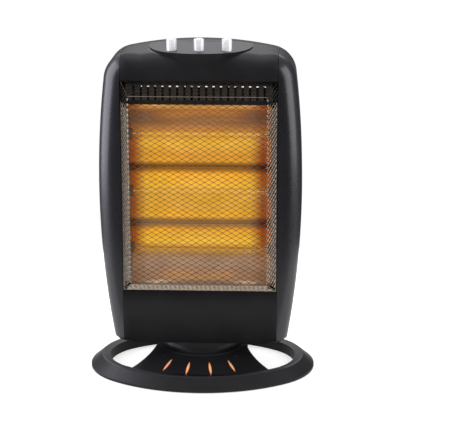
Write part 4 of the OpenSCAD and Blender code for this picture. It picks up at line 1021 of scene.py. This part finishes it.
# %% [markdown]
# ## Push buttons
# Each button is a short barrel with a metallised gloss skin, a rounded rim and a shallow
# dish for the finger. It is round, so it is turned from one outline like on a lathe. It
# slides in its hole, so it rides on a body of its own.

# %% Metallised skin
silver, tree, place = new_material("metallised_abs")
flow, tone = mottle(tree, place, 5, "#e6e6e8", "#f2f2f4")
rough = add(tree, "MapRange", Value=flow, To=(0.2, 0.3))
skin = add(tree, "BsdfPrincipled", Base_Color=tone, Metallic=0.1, Roughness=rough,
           Coat_Weight=0.5, Coat_Roughness=0.06)
add(tree, "OutputMaterial", Surface=skin)
print("skin:", silver.name)

# %% Buttons
STEM_R, FLANGE_LIP, FLANGE_T, FLANGE_TOP = 2.5, 1, 1.5, 443.7
RIM_R, DISH_DEPTH, DISH_STEPS = 1.6, 0.7, 6
for i in range(3):
    name = f"button_{i + 1}"
    low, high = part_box(name)
    top, bottom = high.z / MM, low.z / MM
    radius, dish = BUTTON_D / 2, BUTTON_D / 2 - RIM_R
    outline = [(0, bottom), (STEM_R, bottom), (STEM_R, FLANGE_TOP - FLANGE_T),
               (radius + FLANGE_LIP, FLANGE_TOP - FLANGE_T), (radius + FLANGE_LIP, FLANGE_TOP),
               (radius, FLANGE_TOP)]
    outline += [(dish + RIM_R * math.cos(math.radians(a)),
                 top - RIM_R + RIM_R * math.sin(math.radians(a))) for a in range(0, 91, 15)]
    for k in range(1, DISH_STEPS + 1):
        inward = 1 - k / DISH_STEPS
        outline.append((dish * inward, top - DISH_DEPTH * (1 - inward ** 2)))
    button = lathe(name, outline, 64, button_place(i))
    button.data.materials.append(silver)
    smooth(button, 40)
    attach(button, name)
    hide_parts(name)
print("buttons: 3")

# %% [markdown]
# ## Coloured inserts of the base
# Four spindles of translucent orange plastic sit in the sloping web of the base. They are crowned,
# and the light gathering in them is painted into their colour: pale along the middle and burnt
# orange at the rim. The crown of each point is kept with the mesh, and the colour is read from it.

# %% Translucent orange plastic
amber, tree, place = new_material("translucent_orange_pc")
crown = add(tree, "Attribute", {"attribute_name": "crown"}).outputs["Fac"]
# painted light: pale along the middle of the crown, burnt orange at the rim
tone = add(tree, "ValToRGB", stops={0.0: "#a8430f", 0.3: "#d0651f", 0.6: "#f2a266",
                                    0.9: "#fbbf8c"}, Fac=crown)
pc = add(tree, "BsdfPrincipled", Base_Color=tone, Roughness=0.28, IOR=1.58,
         Subsurface_Weight=0.25, Subsurface_Scale=0.002)
add(tree, "OutputMaterial", Surface=pc)
print("insert plastic:", amber.name)

# %% Orange inserts
WEB_OUT_R, WEB_IN_R, WEB_OUT_Z, WEB_IN_Z = 100, 61, 16, 34
WEB_SLOPE = (WEB_IN_Z - WEB_OUT_Z) / (WEB_OUT_R - WEB_IN_R)
INSERT_LEN, INSERT_W, INSERT_T, INSERT_RUN = 23, 4.4, 3.4, 83
PROUD, CROWN_H = 0.1, 0.68
ROWS, COLUMNS = 24, 10
long_r = (INSERT_W ** 2 + INSERT_LEN ** 2) / 4 / INSERT_W
for n, degrees in enumerate((-31.4, -10.4, 10.4, 31.4)):
    bm = bmesh.new()
    layer = bm.verts.layers.float.new("crown")
    grid = []
    for i in range(ROWS + 1):
        s = (2 * i / ROWS - 1) * (INSERT_LEN / 2 - 0.2)
        half = max(math.sqrt(max(long_r ** 2 - s * s, 0)) - long_r + INSERT_W / 2 - 0.1, 0.02)
        line = []
        for k in range(COLUMNS + 1):
            t = 2 * k / COLUMNS - 1
            x, depth = t * half, INSERT_RUN - s
            crowned = (1 - t * t) * (1 - (s / (INSERT_LEN / 2)) ** 4)
            web_z = WEB_OUT_Z + (WEB_OUT_R - math.hypot(x, depth)) * WEB_SLOPE
            vert = bm.verts.new(at_mm(x, depth, web_z + PROUD + CROWN_H * crowned))
            vert[layer] = crowned
            line.append(vert)
        grid.append(line)
    for a, b in zip(grid, grid[1:]):
        for k in range(COLUMNS):
            bm.faces.new((a[k], a[k + 1], b[k + 1], b[k]))
    bmesh.ops.rotate(bm, verts=bm.verts, matrix=Matrix.Rotation(math.radians(degrees), 3, "Z"))
    insert = object_from(bm, f"base_insert_{n + 1}")
    if insert.data.polygons[0].normal.z < 0:
        insert.data.flip_normals()
    insert.data.materials.append(amber)
    smooth(insert)
    body = insert.modifiers.new("body", "SOLIDIFY")
    body.thickness = INSERT_T * MM
    body.offset = -1
    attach(insert, "base")
    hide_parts(f"base_insert_{n + 1}")
print("inserts: 4")

# %% [markdown]
# ## Finishes of the pieces that stay as they are
# The smaller parts keep their CAD shape and get the finish of the real ones: zinc on
# pressed steel, steatite, natural nylon, brass, rubber and plain switch plastic.

# %% Metals


def plated(name, dark, light, roughness, cell_mm):
    """Metal whose tone and gloss change over cells, as crystals or handling leave it."""
    material, tree, place = new_material(name)
    cells = add(tree, "TexVoronoi", Vector=place, Scale=1 / (cell_mm * MM)).outputs
    tone = add(tree, "ValToRGB", stops={0.2: dark, 0.8: light}, Fac=cells["Color"])
    rough = add(tree, "MapRange", Value=cells["Distance"], To=(roughness * 0.8, roughness * 1.2))
    metal = add(tree, "BsdfPrincipled", Base_Color=tone, Metallic=1.0, Roughness=rough)
    add(tree, "OutputMaterial", Surface=metal)
    return material


zinc = plated("zinc_plated_steel", "#9fa3a6", "#bcc0c3", 0.36, 2.5)
brass = plated("stamped_brass", "#a98544", "#c9a55e", 0.34, 4.0)
print("metals:", zinc.name, brass.name)

# %% Ceramic, nylon, rubber and switch plastic


def matt(name, dark, light, roughness, grain_mm, depth_mm, ior=1.5):
    """A non-metal with a fine mottle and a slight grain."""
    material, tree, place = new_material(name)
    grain, tone = mottle(tree, place, grain_mm, dark, light, 3.0, 0.15)
    bump = add(tree, "Bump", Strength=0.5, Distance=depth_mm * MM, Height=grain)
    stuff = add(tree, "BsdfPrincipled", Base_Color=tone, Roughness=roughness, IOR=ior, Normal=bump)
    add(tree, "OutputMaterial", Surface=stuff)
    return material


steatite = matt("unglazed_steatite", "#d8d1c0", "#e6dfcf", 0.6, 1.2, 0.04, 1.6)
browned = matt("heat_browned_steatite", "#6b4a35", "#8a6448", 0.6, 1.2, 0.04, 1.6)
nylon = matt("natural_nylon", "#d6cfb9", "#e0dac6", 0.4, 3.0, 0.02, 1.53)
rubber = matt("black_rubber", "#121212", "#1b1b1b", 0.75, 1.0, 0.05, 1.52)
blue_switch = matt("blue_switch_pbt", "#23415f", "#2b4b6b", 0.4, 2.0, 0.02, 1.57)
black_switch = matt("black_switch_pbt", "#1c1c1c", "#262626", 0.4, 2.0, 0.02, 1.57)
print("other finishes:", steatite.name, nylon.name, rubber.name, blue_switch.name)

# %% Finishes onto the kept pieces
FINISHES = {
    zinc: ["guard_clips", "reflector_end_left", "reflector_end_right", "heat_shield",
           "switch_bracket", "tilt_bracket", "tilt_pin", "rear_screws", "ballast_plate",
           "base_screws", "swivel_post", "post_washer", "anchor_arm", "swing_motor", "motor_crank"],
    brass: ["tilt_pendulum", "drive_link", "post_nut"],
    browned: ["lamp_caps_1", "lamp_caps_2", "lamp_caps_3"],
    steatite: ["thermal_cutout", "terminal_block"],
    nylon: ["swivel_bush", "slip_washer"],
    rubber: ["cord_gland", "foot_1", "foot_2", "foot_3", "foot_4"],
    blue_switch: ["switch_1", "switch_2", "switch_3"],
    black_switch: ["tilt_microswitch"],
    grained_abs: ["bottom_plate"],
    base_abs: ["base_shell"],
}
for material, names in FINISHES.items():
    for name in names:
        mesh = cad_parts[name].data
        mesh.materials.clear()
        mesh.materials.append(material)
print("finishes on kept pieces:", sum(len(names) for names in FINISHES.values()))

# %% [markdown]
# ## End

# %% End
print("done")
